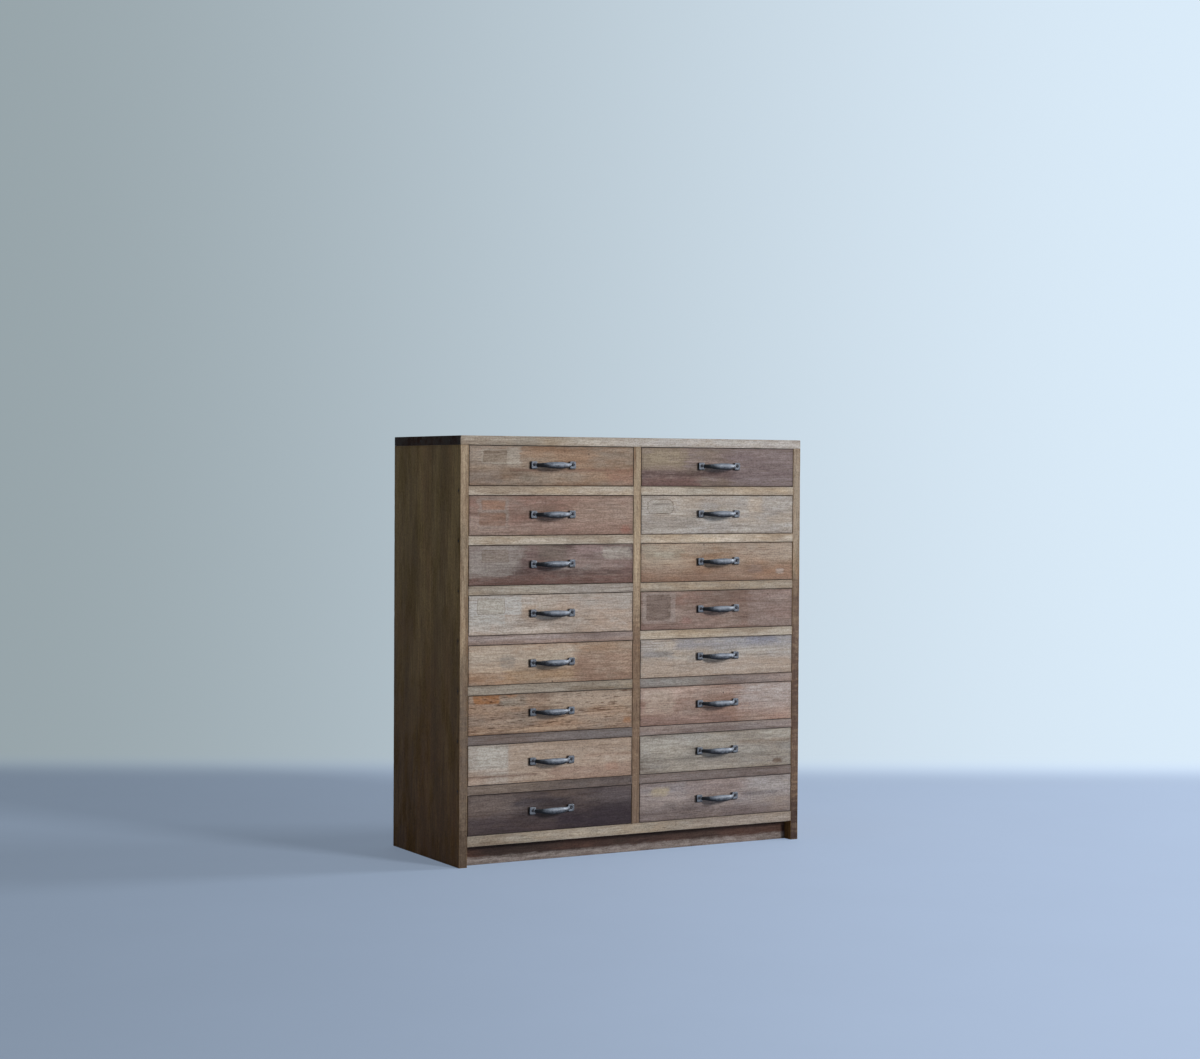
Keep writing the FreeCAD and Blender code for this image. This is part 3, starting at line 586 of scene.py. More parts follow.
frontLooks = {
    "left_1": {"family": "honey", "shade": 0.76, "fall": 0.1, "marks": (
        mark(-5, 124, 43, 92, tone(150, 141, 130), 0.6, soft=7, ragged=(60, 12)),
        mark(92, 122, 44, 82, tone(160, 150, 136), 0.7, soft=4, ragged=(16, 8)),
        mark(30, 93, 47, 79, tone(158, 148, 134), 0.7, soft=1.5, ragged=(8, 3)),
        mark(33, 91, 50, 76, tone(122, 106, 90), 0.85, soft=1.5, ragged=(8, 3), rim=0.4),
        mark(34, 92, 68, 77, tone(104, 86, 72), 0.5, soft=2, ragged=(20, 4)),
        mark(95, 420, 31, 37, tone(108, 78, 64), 0.7, soft=3, ragged=(60, 5)),
        mark(-5, 80, 3, 32, tone(128, 118, 110), 0.5, soft=9, ragged=(50, 8)),
        mark(340, 420, 2, 34, tone(136, 96, 80), 0.55, soft=10, ragged=(40, 8)),
        mark(268, 306, 20, 23, tone(96, 76, 64), 0.6, soft=1.5, ragged=(20, 3)),
        speck(293, 70, 2.2))},
    "left_2": {"family": "rose", "shade": 0.96, "marks": (
        mark(22, 96, 14, 82, tone(142, 132, 122), 0.55, soft=4, ragged=(14, 6)),
        mark(30, 87, 56, 76, tone(142, 107, 86), 0.8, soft=2.5, ragged=(8, 4), rim=0.2),
        mark(24, 88, 21, 49, tone(126, 94, 76), 0.8, soft=2.5, ragged=(8, 4), rim=0.35),
        mark(-20, 240, -20, 26, tone(128, 108, 96), 0.5, soft=12, ragged=(90, 10)),
        mark(240, 420, -5, 92, tone(146, 124, 108), 0.55, soft=20, ragged=(90, 14)),
        mark(150, 420, -5, 30, tone(132, 104, 92), 0.5, soft=12, ragged=(90, 10)),
        mark(376, 400, 4, 20, tone(142, 90, 76), 0.55, soft=6, ragged=(20, 6)))},
    "left_3": {"family": "plum", "shade": 0.9, "fall": 0.3, "marks": (
        mark(-40, 130, 10, 130, tone(146, 138, 130), 0.7, soft=22, ragged=(70, 12)),
        mark(31, 96, 50, 77, tone(124, 110, 98), 0.6, soft=2, ragged=(8, 3), rim=0.5),
        mark(168, 236, 54, 90, tone(106, 96, 86), 0.6, soft=10, ragged=(40, 10)),
        mark(262, 330, 68, 90, tone(148, 126, 122), 0.6, soft=8, ragged=(50, 8)),
        mark(331, 404, 54, 78, tone(164, 156, 145), 0.75, soft=6, ragged=(40, 8)),
        mark(100, 420, 18, 32, tone(76, 53, 47), 0.7, soft=5, ragged=(90, 8)),
        mark(-5, 420, -5, 18, tone(98, 69, 60), 0.75, soft=5, ragged=(90, 8)))},
    "left_4": {"family": "pale", "shade": 0.98, "marks": (
        mark(-5, 128, 44, 92, tone(172, 168, 162), 0.9, soft=1.6, ragged=(10, 5)),
        mark(-5, 88, 24, 46, tone(170, 166, 159), 0.85, soft=2, ragged=(14, 5)),
        mark(-5, 52, 8, 26, tone(168, 162, 154), 0.7, soft=4, ragged=(20, 6)),
        mark(21, 87, 46, 79, tone(160, 152, 136), 0.5, soft=1.5, ragged=(6, 3), rim=0.8, line=1.2),
        mark(130, 165, 28, 62, tone(158, 132, 108), 0.55, soft=7, ragged=(20, 8)),
        mark(250, 420, 56, 92, tone(164, 160, 154), 0.5, soft=14, ragged=(60, 12)))},
    "left_5": {"family": "honey", "shade": 1.06, "fall": 0.1, "marks": (
        mark(-5, 262, 40, 92, tone(172, 160, 145), 0.7, soft=14, ragged=(70, 12)),
        mark(78, 112, 34, 62, tone(130, 122, 114), 0.6, soft=6, ragged=(20, 8)),
        mark(90, 270, 5, 32, tone(162, 132, 98), 0.45, soft=10, ragged=(60, 8)),
        mark(258, 420, -20, 62, tone(130, 104, 88), 0.8, soft=12, ragged=(70, 12)),
        speck(205, 3, 1.8))},
    "left_6": {"family": "flecked", "flecks": 1.0, "streaks": 0.9, "shade": 0.86, "fall": 0.15, "marks": (
        mark(12, 76, 67, 86, tone(142, 97, 60), 0.9, soft=2.5, ragged=(14, 5)),
        mark(92, 120, 78, 85, tone(160, 112, 72), 0.7, soft=4, ragged=(14, 4)),
        mark(78, 140, 60, 82, tone(130, 122, 110), 0.6, soft=7, ragged=(30, 6)),
        mark(200, 420, 46, 92, tone(162, 148, 132), 0.5, soft=12, ragged=(60, 10)),
        mark(-5, 270, 4, 12, tone(176, 152, 128), 0.6, soft=3, ragged=(60, 5)),
        mark(384, 404, 12, 25, tone(148, 104, 70), 0.7, soft=4, ragged=(14, 5)))},
    "left_7": {"family": "pale", "shade": 0.92, "fall": 0.15, "marks": (
        mark(97, 420, -5, 92, tone(160, 140, 122), 0.75, soft=2.5, ragged=(16, 5)),
        mark(-5, 97, 34, 92, tone(162, 156, 147), 0.75, soft=2.5, ragged=(10, 5)),
        mark(22, 92, 40, 82, tone(174, 168, 158), 0.6, soft=2.5, ragged=(10, 6), rim=0.3),
        mark(-5, 170, 15, 20, tone(112, 88, 76), 0.7, soft=2, ragged=(60, 5)),
        mark(280, 420, 48, 54, tone(136, 108, 92), 0.5, soft=4, ragged=(60, 5)),
        mark(200, 420, -20, 30, tone(142, 116, 102), 0.65, soft=10, ragged=(90, 10)),
        mark(340, 372, 14, 34, tone(156, 116, 96), 0.35, soft=7, ragged=(20, 8)))},
    "left_8": {"family": "dark", "shade": 0.8, "fall": 0.5, "marks": (
        mark(-5, 110, 44, 92, tone(108, 96, 90), 0.7, soft=12, ragged=(70, 12)),
        mark(330, 420, 52, 92, tone(92, 82, 82), 0.6, soft=10, ragged=(50, 10)),
        mark(-5, 420, -20, 38, tone(58, 48, 52), 0.6, soft=14, ragged=(90, 10)),
        mark(220, 700, -20, 40, tone(46, 37, 42), 0.8, soft=16, ragged=(90, 10)))},
    "right_1": {"family": "russet", "shade": 0.87, "fall": 0.15, "marks": (
        mark(-5, 118, 38, 92, tone(132, 118, 97), 0.75, soft=10, ragged=(70, 12)),
        mark(24, 100, 52, 78, tone(150, 136, 114), 0.45, soft=4, ragged=(20, 6), rim=0.35),
        mark(-5, 290, 22, 35, tone(74, 53, 50), 0.75, soft=5, ragged=(90, 8)),
        mark(-5, 150, -20, 20, tone(98, 70, 64), 0.75, soft=8, ragged=(70, 8)),
        mark(240, 420, -20, 100, tone(126, 113, 111), 0.55, soft=12, ragged=(60, 12)))},
    "right_2": {"family": "grey", "shade": 0.94, "streaks": 0.3, "marks": (
        mark(18, 84, 46, 77, tone(152, 146, 137), 0.4, soft=1.5, ragged=(14, 6), corner=9, rim=1.0, line=1.6),
        mark(28, 80, 66, 69, tone(104, 94, 86), 0.7, soft=1.2, ragged=(14, 3)),
        mark(26, 78, 55, 57, tone(122, 112, 102), 0.5, soft=1.2, ragged=(14, 3)),
        mark(284, 322, 42, 84, tone(170, 152, 132), 0.55, soft=8, ragged=(20, 8)))},
    "right_3": {"family": "honey", "shade": 0.93, "fall": 0.4, "marks": (
        mark(230, 600, 40, 120, tone(160, 146, 132), 0.6, soft=24, ragged=(90, 12)),
        mark(8, 108, 48, 82, tone(146, 138, 122), 0.6, soft=10, ragged=(50, 10)),
        mark(34, 84, 56, 72, tone(166, 158, 142), 0.5, soft=4, ragged=(30, 5)),
        mark(-20, 600, -20, 30, tone(130, 104, 90), 0.5, soft=14, ragged=(90, 10)),
        mark(288, 322, 18, 40, tone(118, 102, 94), 0.6, soft=7, ragged=(20, 8)),
        mark(362, 382, 14, 26, tone(160, 150, 142), 0.6, soft=3, ragged=(20, 4)),
        speck(165, 83, 2.0))},
    "right_4": {"family": "rose", "shade": 0.8, "marks": (
        mark(5, 91, 14, 84, tone(142, 129, 121), 0.75, soft=2.5, ragged=(10, 6)),
        mark(15, 78, 22, 79, tone(104, 88, 79), 0.9, soft=1.5, ragged=(6, 4), rim=0.25),
        mark(-20, 200, -20, 18, tone(120, 98, 90), 0.5, soft=9, ragged=(80, 8)),
        mark(106, 132, 12, 26, tone(142, 98, 90), 0.5, soft=6, ragged=(20, 6)),
        mark(290, 700, -20, 100, tone(138, 122, 115), 0.6, soft=16, ragged=(60, 10)),
        speck(340, 75, 2.2))},
    "right_5": {"family": "grey", "shade": 0.93, "marks": (
        mark(-5, 420, -20, 38, tone(160, 142, 126), 0.8, soft=9, ragged=(90, 10)),
        mark(4, 84, 46, 60, tone(122, 120, 119), 0.6, soft=4, ragged=(40, 5)),
        mark(90, 420, 62, 104, tone(130, 129, 134), 0.7, soft=10, ragged=(60, 8)),
        mark(278, 366, 72, 90, tone(114, 115, 128), 0.6, soft=8, ragged=(40, 8)),
        mark(180, 420, 12, 18, tone(176, 163, 150), 0.5, soft=4, ragged=(60, 5)))},
    "right_6": {"family": "rose", "shade": 1.18, "tinting": 0.2, "fall": 0.2, "marks": (
        mark(262, 700, 30, 120, tone(168, 160, 155), 0.7, soft=30, ragged=(90, 12)),
        mark(12, 92, 30, 80, tone(168, 153, 138), 0.65, soft=8, ragged=(30, 8)),
        mark(-5, 240, -20, 20, tone(124, 102, 94), 0.65, soft=7, ragged=(70, 8)),
        speck(220, 68, 2.0), speck(322, 48, 1.6, 0.4))},
    "right_7": {"family": "olive", "shade": 1.06, "tinting": 0.3, "fall": 0.25, "marks": (
        mark(260, 420, 56, 64, tone(132, 114, 98), 0.6, soft=5, ragged=(60, 6)),
        mark(-5, 420, 26, 33, tone(106, 99, 91), 0.6, soft=5, ragged=(90, 6)),
        mark(356, 382, 8, 18, tone(96, 77, 63), 0.75, soft=3, ragged=(14, 5)))},
    "right_8": {"family": "dusk", "fall": 0.2, "marks": (
        mark(27, 74, 56, 74, tone(160, 146, 120), 0.7, soft=5, ragged=(24, 6)),
        mark(120, 290, 50, 92, tone(142, 126, 120), 0.6, soft=12, ragged=(60, 10)),
        mark(282, 600, 46, 120, tone(152, 146, 143), 0.75, soft=18, ragged=(60, 10)),
        mark(272, 380, 44, 51, tone(92, 84, 84), 0.75, soft=3, ragged=(50, 5)),
        mark(60, 100, 26, 40, tone(98, 90, 88), 0.5, soft=6, ragged=(30, 6)),
        mark(-20, 190, -20, 34, tone(98, 87, 85), 0.55, soft=12, ragged=(70, 8)),
        mark(-5, 420, -20, 22, tone(106, 94, 91), 0.5, soft=10, ragged=(70, 8)))},
}

frontShape = {
    "lip": 8 * mm,
    "sideNotch": 10.5 * mm,
    "bottomNotch": 4 * mm,
    "arris": 0.4 * mm,
    "wander": 0.35 * mm,
    "knock": 1.0 * mm,
    "shadeAndDirt": tone(46, 36, 31),  # painted shade and dirt: the dark tone along a front's edges, where the gaps' shade falls, and round the pulls' feet
    "footWidth": 15.5 * mm,
    "footShadowAndDirt": (3.4 * mm, 1.0 * mm, 1.6 * mm),  # how far the painted shadow and dirt reach left, right and below a pull's foot
}


# painted shadow and dirt: dark patches on the wood round each pull foot, reaching furthest to the left, where
# the feet's shadows fall
def shadowAndDirtRoundFeet(pull, low, shape):
    pullLow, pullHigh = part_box(pull)
    left, right, below = shape["footShadowAndDirt"]
    found = []
    for start in (pullLow.x, pullHigh.x - shape["footWidth"]):
        edges = (start - left - low.x, start + shape["footWidth"] + right - low.x,
                 pullLow.z - below - low.z, pullHigh.z - low.z)
        found.append(mark(*[edge / mm for edge in edges], shape["shadeAndDirt"], 0.8, soft=0.8, ragged=(3, 3)))
    return tuple(found)


def makeFront(side, row, seed):
    node = f"{drawerName(side, row)}_front"
    low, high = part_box(node)
    look = dict(frontLooks[f"{side}_{row}"])
    family = look.pop("family")
    shadowAndDirt = shadowAndDirtRoundFeet(f"{drawerName(side, row)}_pull", low, frontShape)
    marks = placed(look.pop("marks") + shadowAndDirt, low)
    # painted shade: the front's edges take the dark tone, deepening the shade lines in the gaps round the
    # drawer
    material = woodMaterial(f"{node}_wood", tones[family], low, high, shift=seed * 3.7, marks=marks,
                            arris=0.85, arrisTone=frontShape["shadeAndDirt"], **look)
    wear = {**boardWear, **{name: frontShape[name] for name in ("arris", "wander", "knock")}}
    lipHigh = Vector((high.x, low.y + frontShape["lip"], high.z))
    piece = pieceFrom(boardMesh(low, lipHigh, wear, seed), f"{node}_board")
    backLow = Vector((low.x + frontShape["sideNotch"], lipHigh.y - 2 * mm, low.z + frontShape["bottomNotch"]))
    backHigh = Vector((high.x - frontShape["sideNotch"], high.y, high.z - 0.4 * mm))
    back = pieceFrom(boardMesh(backLow, backHigh, {**hiddenWear, **{"knock": 0.3 * mm}}, seed + 500), "back")
    combine(piece, back, "UNION")
    piece.data.materials.clear()
    piece.data.materials.append(material)
    dress(piece, drawerName(side, row), f"front_{family}", node)


for number, (side, row) in enumerate([(side, row) for side in sides for row in rows], 1):
    makeFront(side, row, number)
print("drawer fronts done")


# Drawer boxes

boxShape = {"side": 10 * mm, "back": 10 * mm, "bottom": 5 * mm}


def makeBox(side, row, seed, materials):
    node = f"{drawerName(side, row)}_box"
    low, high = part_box(node)
    wall = boxShape["side"]
    deck = low.z + boxShape["bottom"]
    rear = high.y - boxShape["back"]
    boards = (
        ((low.x, low.y, deck), (low.x + wall, high.y, high.z), 0),
        ((high.x - wall, low.y, deck), (high.x, high.y, high.z), 0),
        ((low.x + wall, rear, deck), (high.x - wall, high.y, high.z), 1),
        ((low.x, low.y, low.z), (high.x, high.y, deck), 2),
    )
    net = bmesh.new()
    for start, end, index in boards:
        addBoard(net, Vector(start), Vector(end), hiddenWear, seed * 10 + index, index)
    piece = pieceFrom(net, f"{node}_boards", *materials)
    dress(piece, drawerName(side, row), "drawer_wood", node)


def plainWood(name, toneSet, grain, **changes):
    # a finish for pieces too small or too many for edge wear
    reach = Vector((9, 9, 9))
    return woodMaterial(name, toneSet, -reach, reach, grain, arris=0.0, grime=0.0, **changes)


boxMaterials = (
    plainWood("boxSideWood", tones["box"], "Y", shift=61.0),
    plainWood("boxBackWood", tones["box"], "X", shift=67.0),
    plainWood("boxBottomWood", tones["box"], "X", shift=71.0, shade=0.94, rings=0.5, ringGap=0.014,
              staves=("Y", 84 * mm, 0.10, 0.6)),
)
for number, (side, row) in enumerate([(side, row) for side in sides for row in rows], 61):
    makeBox(side, row, number, boxMaterials)
print("drawer boxes done")


# Pulls, each in a frame whose origin is on the drawer's face midway between the feet

pullShape = {
    "reach": 41 * mm,  # from the middle to where the bar meets a foot
    "root": 2.25 * mm,
    "rise": 20.25 * mm,
    "bow": 3.3,
    "neck": (5.6 * mm, 7 * mm),  # thickness and height
    "belly": (9 * mm, 15 * mm),
    "flare": (1.0 * mm, 1.5 * mm),  # how much thicker and taller the bar is at a foot than at its waist
    "sag": 0.6 * mm,  # how far the belly hangs below the feet's middle
    "swell": 1.1,
    "waist": 0.74,
    "footWidth": 15.5 * mm,
    "footThickness": 4.5 * mm,
    "footCorner": 3 * mm,
    "footEdge": 0.8 * mm,
    "dish": (4.1 * mm, 0.9 * mm),  # radius and depth of the hollow round a screw
    "steps": (60, 28),
    "voxel": 0.5 * mm,
    "pitting": 0.14 * mm,
    "keep": 0.32,  # share of the faces that stay
    "castings": 4,
    "tilt": 0.7,  # degrees
}


def barCentre(shape, share):
    return Vector((share * shape["reach"],
                   -shape["root"] - shape["rise"] * (1 - abs(share) ** shape["bow"]),
                   -shape["sag"] * max(0.0, 1 - share * share)))


def addBar(net, shape):
    steps, around = shape["steps"]
    rings = []
    for step in range(steps + 1):
        share = 2 * step / steps - 1
        ahead = barCentre(shape, share + 0.01) - barCentre(shape, share - 0.01)
        outward = Vector((-ahead.y, ahead.x, 0)).normalized() * -1
        swell = max(0.0, 1 - share * share) ** shape["swell"]
        flare = (max(0.0, abs(share) - shape["waist"]) / (1 - shape["waist"])) ** 2
        thick, tall = [(small + (large - small) * swell + more * flare) / 2 for small, large, more in
                       zip(shape["neck"], shape["belly"], shape["flare"])]
        ring = []
        for turn in range(around):
            angle = 2 * math.pi * turn / around
            offset = outward * (thick * math.cos(angle)) + Vector((0, 0, tall * math.sin(angle)))
            ring.append(net.verts.new(barCentre(shape, share) + offset))
        rings.append(ring)
    for before, after in zip(rings, rings[1:]):
        for turn in range(around):
            far = (turn + 1) % around
            net.faces.new((before[turn], before[far], after[far], after[turn]))
    net.faces.new(rings[0][::-1])
    net.faces.new(rings[-1])


def footOutline(shape, width, height, inset):
    corner = shape["footCorner"]
    points = []
    for turn in range(4):
        across = (1, -1, -1, 1)[turn] * (width / 2 - corner)
        up = (1, 1, -1, -1)[turn] * (height / 2 - corner)
        for step in range(7):
            angle = math.pi / 2 * (turn + step / 6)
            reach = corner - inset
            points.append((across + reach * math.cos(angle), up + reach * math.sin(angle)))
    return points


def addFoot(net, shape, centre, height):
    edge, depth = shape["footEdge"], shape["footThickness"]
    layers = [(0.0, 0.0), (depth - edge, 0.0), (depth - 0.3 * edge, 0.3 * edge), (depth, edge)]
    rings = []
    for out, inset in layers:
        outline = footOutline(shape, shape["footWidth"], height, inset)
        rings.append([net.verts.new((centre + across, -out, up)) for across, up in outline])
    for before, after in zip(rings, rings[1:]):
        for step in range(len(before)):
            far = (step + 1) % len(before)
            net.faces.new((before[step], before[far], after[far], after[step]))
    net.faces.new(rings[0][::-1])
    net.faces.new(rings[-1])


def makeCasting(shape, length, height, seed):
    net = bmesh.new()
    addBar(net, shape)
    feet = [hand * (length - shape["footWidth"]) / 2 for hand in (-1, 1)]
    for centre in feet:
        addFoot(net, shape, centre, height)
    bmesh.ops.recalc_face_normals(net, faces=net.faces)
    piece = pieceFrom(net, "casting")
    skin = piece.modifiers.new("skin", "REMESH")
    skin.mode = "VOXEL"
    skin.voxel_size = shape["voxel"]
    soften = piece.modifiers.new("soften", "SMOOTH")
    soften.iterations = 3
    settle(piece)

    reach, depth = shape["dish"]
    shift = Vector((seed * 7.3, seed * 1.9, 0))
    before = [(vertex.co.copy(), vertex.normal.copy()) for vertex in piece.data.vertices]
    for vertex, (point, normal) in zip(piece.data.vertices, before):
        rough = noise.noise(point * 160 + shift) + 0.7 * noise.noise(point * 520 + shift)
        moved = normal * (rough - 0.6) * shape["pitting"]
        for centre in feet:
            away = math.hypot(point.x - centre, point.z)
            if away < reach and point.y < -0.7 * shape["footThickness"] and normal.y < -0.5:
                moved.y += depth * min(1.0, 1.6 * (1 - away / reach))
        vertex.co = point + moved
    fewer = piece.modifiers.new("fewer", "DECIMATE")
    fewer.ratio = shape["keep"]
    return settle(piece)


def makeIron():
    material = bpy.data.materials.new("castIron")
    material.use_nodes = True
    tree = material.node_tree
    shader = tree.nodes["Principled BSDF"]
    here = addNode(tree, "ShaderNodeTexCoord").outputs
    place = here["Object"]
    # painted highlight and wear: faces turned up, forward and a little right are paler and more metallic;
    # faces turned left stay dark
    outward = vectorMaths(tree, "DOT_PRODUCT", here["Normal"], (0.22, -0.76, 0.60))
    cloud = noiseOf(tree, place, (130, 130, 190), 4, 3.0, 0.62)
    grit = noiseOf(tree, place, (900, 900, 900), 3, 1.0)
    uneven = maths(tree, "MULTIPLY_ADD", maths(tree, "SUBTRACT", cloud, 0.5), 1.3, outward)
    rubbedAndLit = ramp(tree, uneven, 0.35, 1.0)
    facing = addNode(tree, "ShaderNodeSeparateXYZ", {"Vector": here["Normal"]}).outputs
    rubbedAndLit = maths(tree, "MULTIPLY", rubbedAndLit, ramp(tree, facing["Y"], -0.95, -0.75, 0.6, 1.0))
    rubbedAndLit = maths(tree, "MULTIPLY", rubbedAndLit, ramp(tree, facing["X"], -0.75, -0.45, 0.0, 1.0))
    colour = blended(tree, cloud, tone(15, 14, 17), tone(35, 34, 38))
    colour = blended(tree, rubbedAndLit, colour, tone(126, 132, 142))
    brown = ramp(tree, noiseOf(tree, place, (75, 75, 75), 4, 8.0, 0.65), 0.58, 0.74, 0.0, 0.4)
    colour = blended(tree, brown, colour, tone(62, 50, 44))
    colour = blended(tree, ramp(tree, grit, 0.56, 0.7, 0.0, 0.6), colour, tone(28, 26, 28))
    feed(tree, shader.inputs["Base Color"], colour)
    feed(tree, shader.inputs["Metallic"], ramp(tree, rubbedAndLit, 0.0, 1.0, 0.35, 0.45))
    feed(tree, shader.inputs["Roughness"], ramp(tree, cloud, 0.3, 0.7, 0.40, 0.58))
    relief = maths(tree, "ADD", maths(tree, "MULTIPLY", grit, 0.4), cloud)
    bump = addNode(tree, "ShaderNodeBump", {"Height": relief, "Strength": 0.35, "Distance": 0.5 * mm})
    feed(tree, shader.inputs["Normal"], bump.outputs[0])
    return material


def makeSteel(name, dark, light, metallic):
    material = bpy.data.materials.new(name)
    material.use_nodes = True
    tree = material.node_tree
    shader = tree.nodes["Principled BSDF"]
    place = addNode(tree, "ShaderNodeTexCoord").outputs["Object"]
    cloud = noiseOf(tree, place, (420, 420, 420), 4, 2.0, 0.6)
    colour = blended(tree, ramp(tree, cloud, 0.35, 0.65), dark, light)
    rust = ramp(tree, noiseOf(tree, place, (210, 210, 210), 3, 6.0), 0.52, 0.7, 0.0, 0.6)
    feed(tree, shader.inputs["Base Color"], blended(tree, rust, colour, tone(70, 48, 36)))
    feed(tree, shader.inputs["Roughness"], ramp(tree, cloud, 0.3, 0.7, 0.4, 0.7))
    shader.inputs["Metallic"].default_value = metallic
    bump = addNode(tree, "ShaderNodeBump", {"Height": cloud, "Strength": 0.3, "Distance": 0.2 * mm})
    feed(tree, shader.inputs["Normal"], bump.outputs[0])
    return material


# Node trees that repeat a small fastener at each point they are given

def anyNumber(tree, low, high, seed):
    node = addNode(tree, "FunctionNodeRandomValue", data_type="FLOAT")
    for index, value in ((2, low), (3, high), (8, seed)):
        feed(tree, node.inputs[index], value)
    return node.outputs[1]


def finishTree(tree, out, shape, points, turn, finish):
    spread = addNode(tree, "GeometryNodeInstanceOnPoints", {
        "Points": points, "Instance": shape, "Rotation": turn}).outputs[0]
    solid = addNode(tree, "GeometryNodeRealizeInstances", {"Geometry": spread}).outputs[0]
    done = addNode(tree, "GeometryNodeSetMaterial", {"Geometry": solid, "Material": finish}).outputs[0]
    feed(tree, out["Geometry"], done)
    return tree


def domeHead(tree, radius, height, segments):
    ball = addNode(tree, "GeometryNodeMeshUVSphere", {
        "Segments": segments, "Rings": segments // 2, "Radius": 1.0}).outputs["Mesh"]
    size = vectorOf(tree, radius, radius, height)
    return addNode(tree, "GeometryNodeTransform", {"Geometry": ball, "Scale": size}).outputs[0]


def makeScrewTree():
    tree, given, out = newGroup("slottedScrews", {
        "Geometry": "Geometry", "Radius": "Float", "Height": "Float", "Slot": "Float", "Depth": "Float",
        "Seed": "Int", "Finish": "Material"}, {"Geometry": "Geometry"}, "GeometryNodeTree")
    head = domeHead(tree, given["Radius"], given["Height"], 28)
    bladeSize = vectorOf(tree, maths(tree, "MULTIPLY", given["Radius"], 3.0), given["Slot"],
                         maths(tree, "MULTIPLY", given["Depth"], 2.0))
    blade = addNode(tree, "GeometryNodeMeshCube", {"Size": bladeSize}).outputs["Mesh"]
    blade = addNode(tree, "GeometryNodeTransform", {
        "Geometry": blade, "Translation": vectorOf(tree, z=given["Height"])}).outputs[0]
    slotted = addNode(tree, "GeometryNodeMeshBoolean", {"Mesh 1": head, "Mesh 2": blade},
                      operation="DIFFERENCE", solver="EXACT").outputs[0]
    turn = vectorOf(tree, math.pi / 2, anyNumber(tree, -1.4, 1.4, given["Seed"]), 0.0)
    return finishTree(tree, out, slotted, given["Geometry"], turn, given["Finish"])


def makeNailTree():
    tree, given, out = newGroup("nails", {
        "Geometry": "Geometry", "Radius": "Float", "Height": "Float", "Shank": "Float", "Length": "Float",
        "Tilt": "Float", "Seed": "Int", "Finish": "Material"}, {"Geometry": "Geometry"}, "GeometryNodeTree")
    head = domeHead(tree, given["Radius"], given["Height"], 16)
    shank = addNode(tree, "GeometryNodeMeshCylinder", {
        "Vertices": 10, "Radius": given["Shank"], "Depth": given["Length"]}).outputs["Mesh"]
    shank = addNode(tree, "GeometryNodeTransform", {
        "Geometry": shank, "Translation": vectorOf(tree, z=maths(tree, "MULTIPLY", given["Length"], -0.5))
    }).outputs[0]
    nail = addNode(tree, "GeometryNodeJoinGeometry")
    feed(tree, nail.inputs[0], head)
    feed(tree, nail.inputs[0], shank)
    place = addNode(tree, "GeometryNodeInputPosition").outputs[0]
    side = maths(tree, "SIGN", addNode(tree, "ShaderNodeSeparateXYZ", {"Vector": place}).outputs["X"])
    lean = anyNumber(tree, maths(tree, "MULTIPLY", given["Tilt"], -1.0), given["Tilt"], given["Seed"])
    turn = vectorOf(tree, 0.0, maths(tree, "MULTIPLY_ADD", side, math.pi / 2, lean), lean)
    return finishTree(tree, out, nail.outputs[0], given["Geometry"], turn, given["Finish"])


def makePinTree():
    tree, given, out = newGroup("backPins", {
        "Geometry": "Geometry", "Spacing": "Float", "Radius": "Float", "Height": "Float",
        "Seed": "Int", "Finish": "Material"}, {"Geometry": "Geometry"}, "GeometryNodeTree")
    path = addNode(tree, "GeometryNodeMeshToCurve", {"Mesh": given["Geometry"]}).outputs[0]
    spots = addNode(tree, "GeometryNodeCurveToPoints", {
        "Curve": path, "Length": given["Spacing"]}, mode="LENGTH").outputs["Points"]
    head = domeHead(tree, given["Radius"], given["Height"], 12)
    turn = vectorOf(tree, math.pi / 2, anyNumber(tree, -0.1, 0.1, given["Seed"]), 0.0)
    return finishTree(tree, out, head, spots, turn, given["Finish"])


def grown(name, points, edges, tree, values, finish):
    # the plain mesh that a node tree makes from some points
    mesh = bpy.data.meshes.new(name)
    mesh.from_pydata(points, edges, [])
    piece = bpy.data.objects.new(name, mesh)
    bpy.context.scene.collection.objects.link(piece)
    repeat = piece.modifiers.new("repeat", "NODES")
    repeat.node_group = tree
    for item in tree.interface.items_tree:
        if item.in_out == "INPUT" and item.name in values:
            repeat[item.identifier] = values[item.name]
        if item.in_out == "INPUT" and item.name == "Finish":
            repeat[item.identifier] = finish
    settle(piece)
    for face in piece.data.polygons:
        face.use_smooth = True
    piece.data.set_sharp_from_angle(angle=math.radians(40))
    return piece


screwShape = {"Radius": 3 * mm, "Height": 1.8 * mm, "Slot": 0.9 * mm, "Depth": 0.8 * mm}

ironMaterial = makeIron()
screwSteel = makeSteel("screwSteel", tone(30, 30, 34), tone(62, 62, 68), 0.6)
screwTree = makeScrewTree()


def pullBox(side, row):
    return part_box(f"{drawerName(side, row)}_pull")


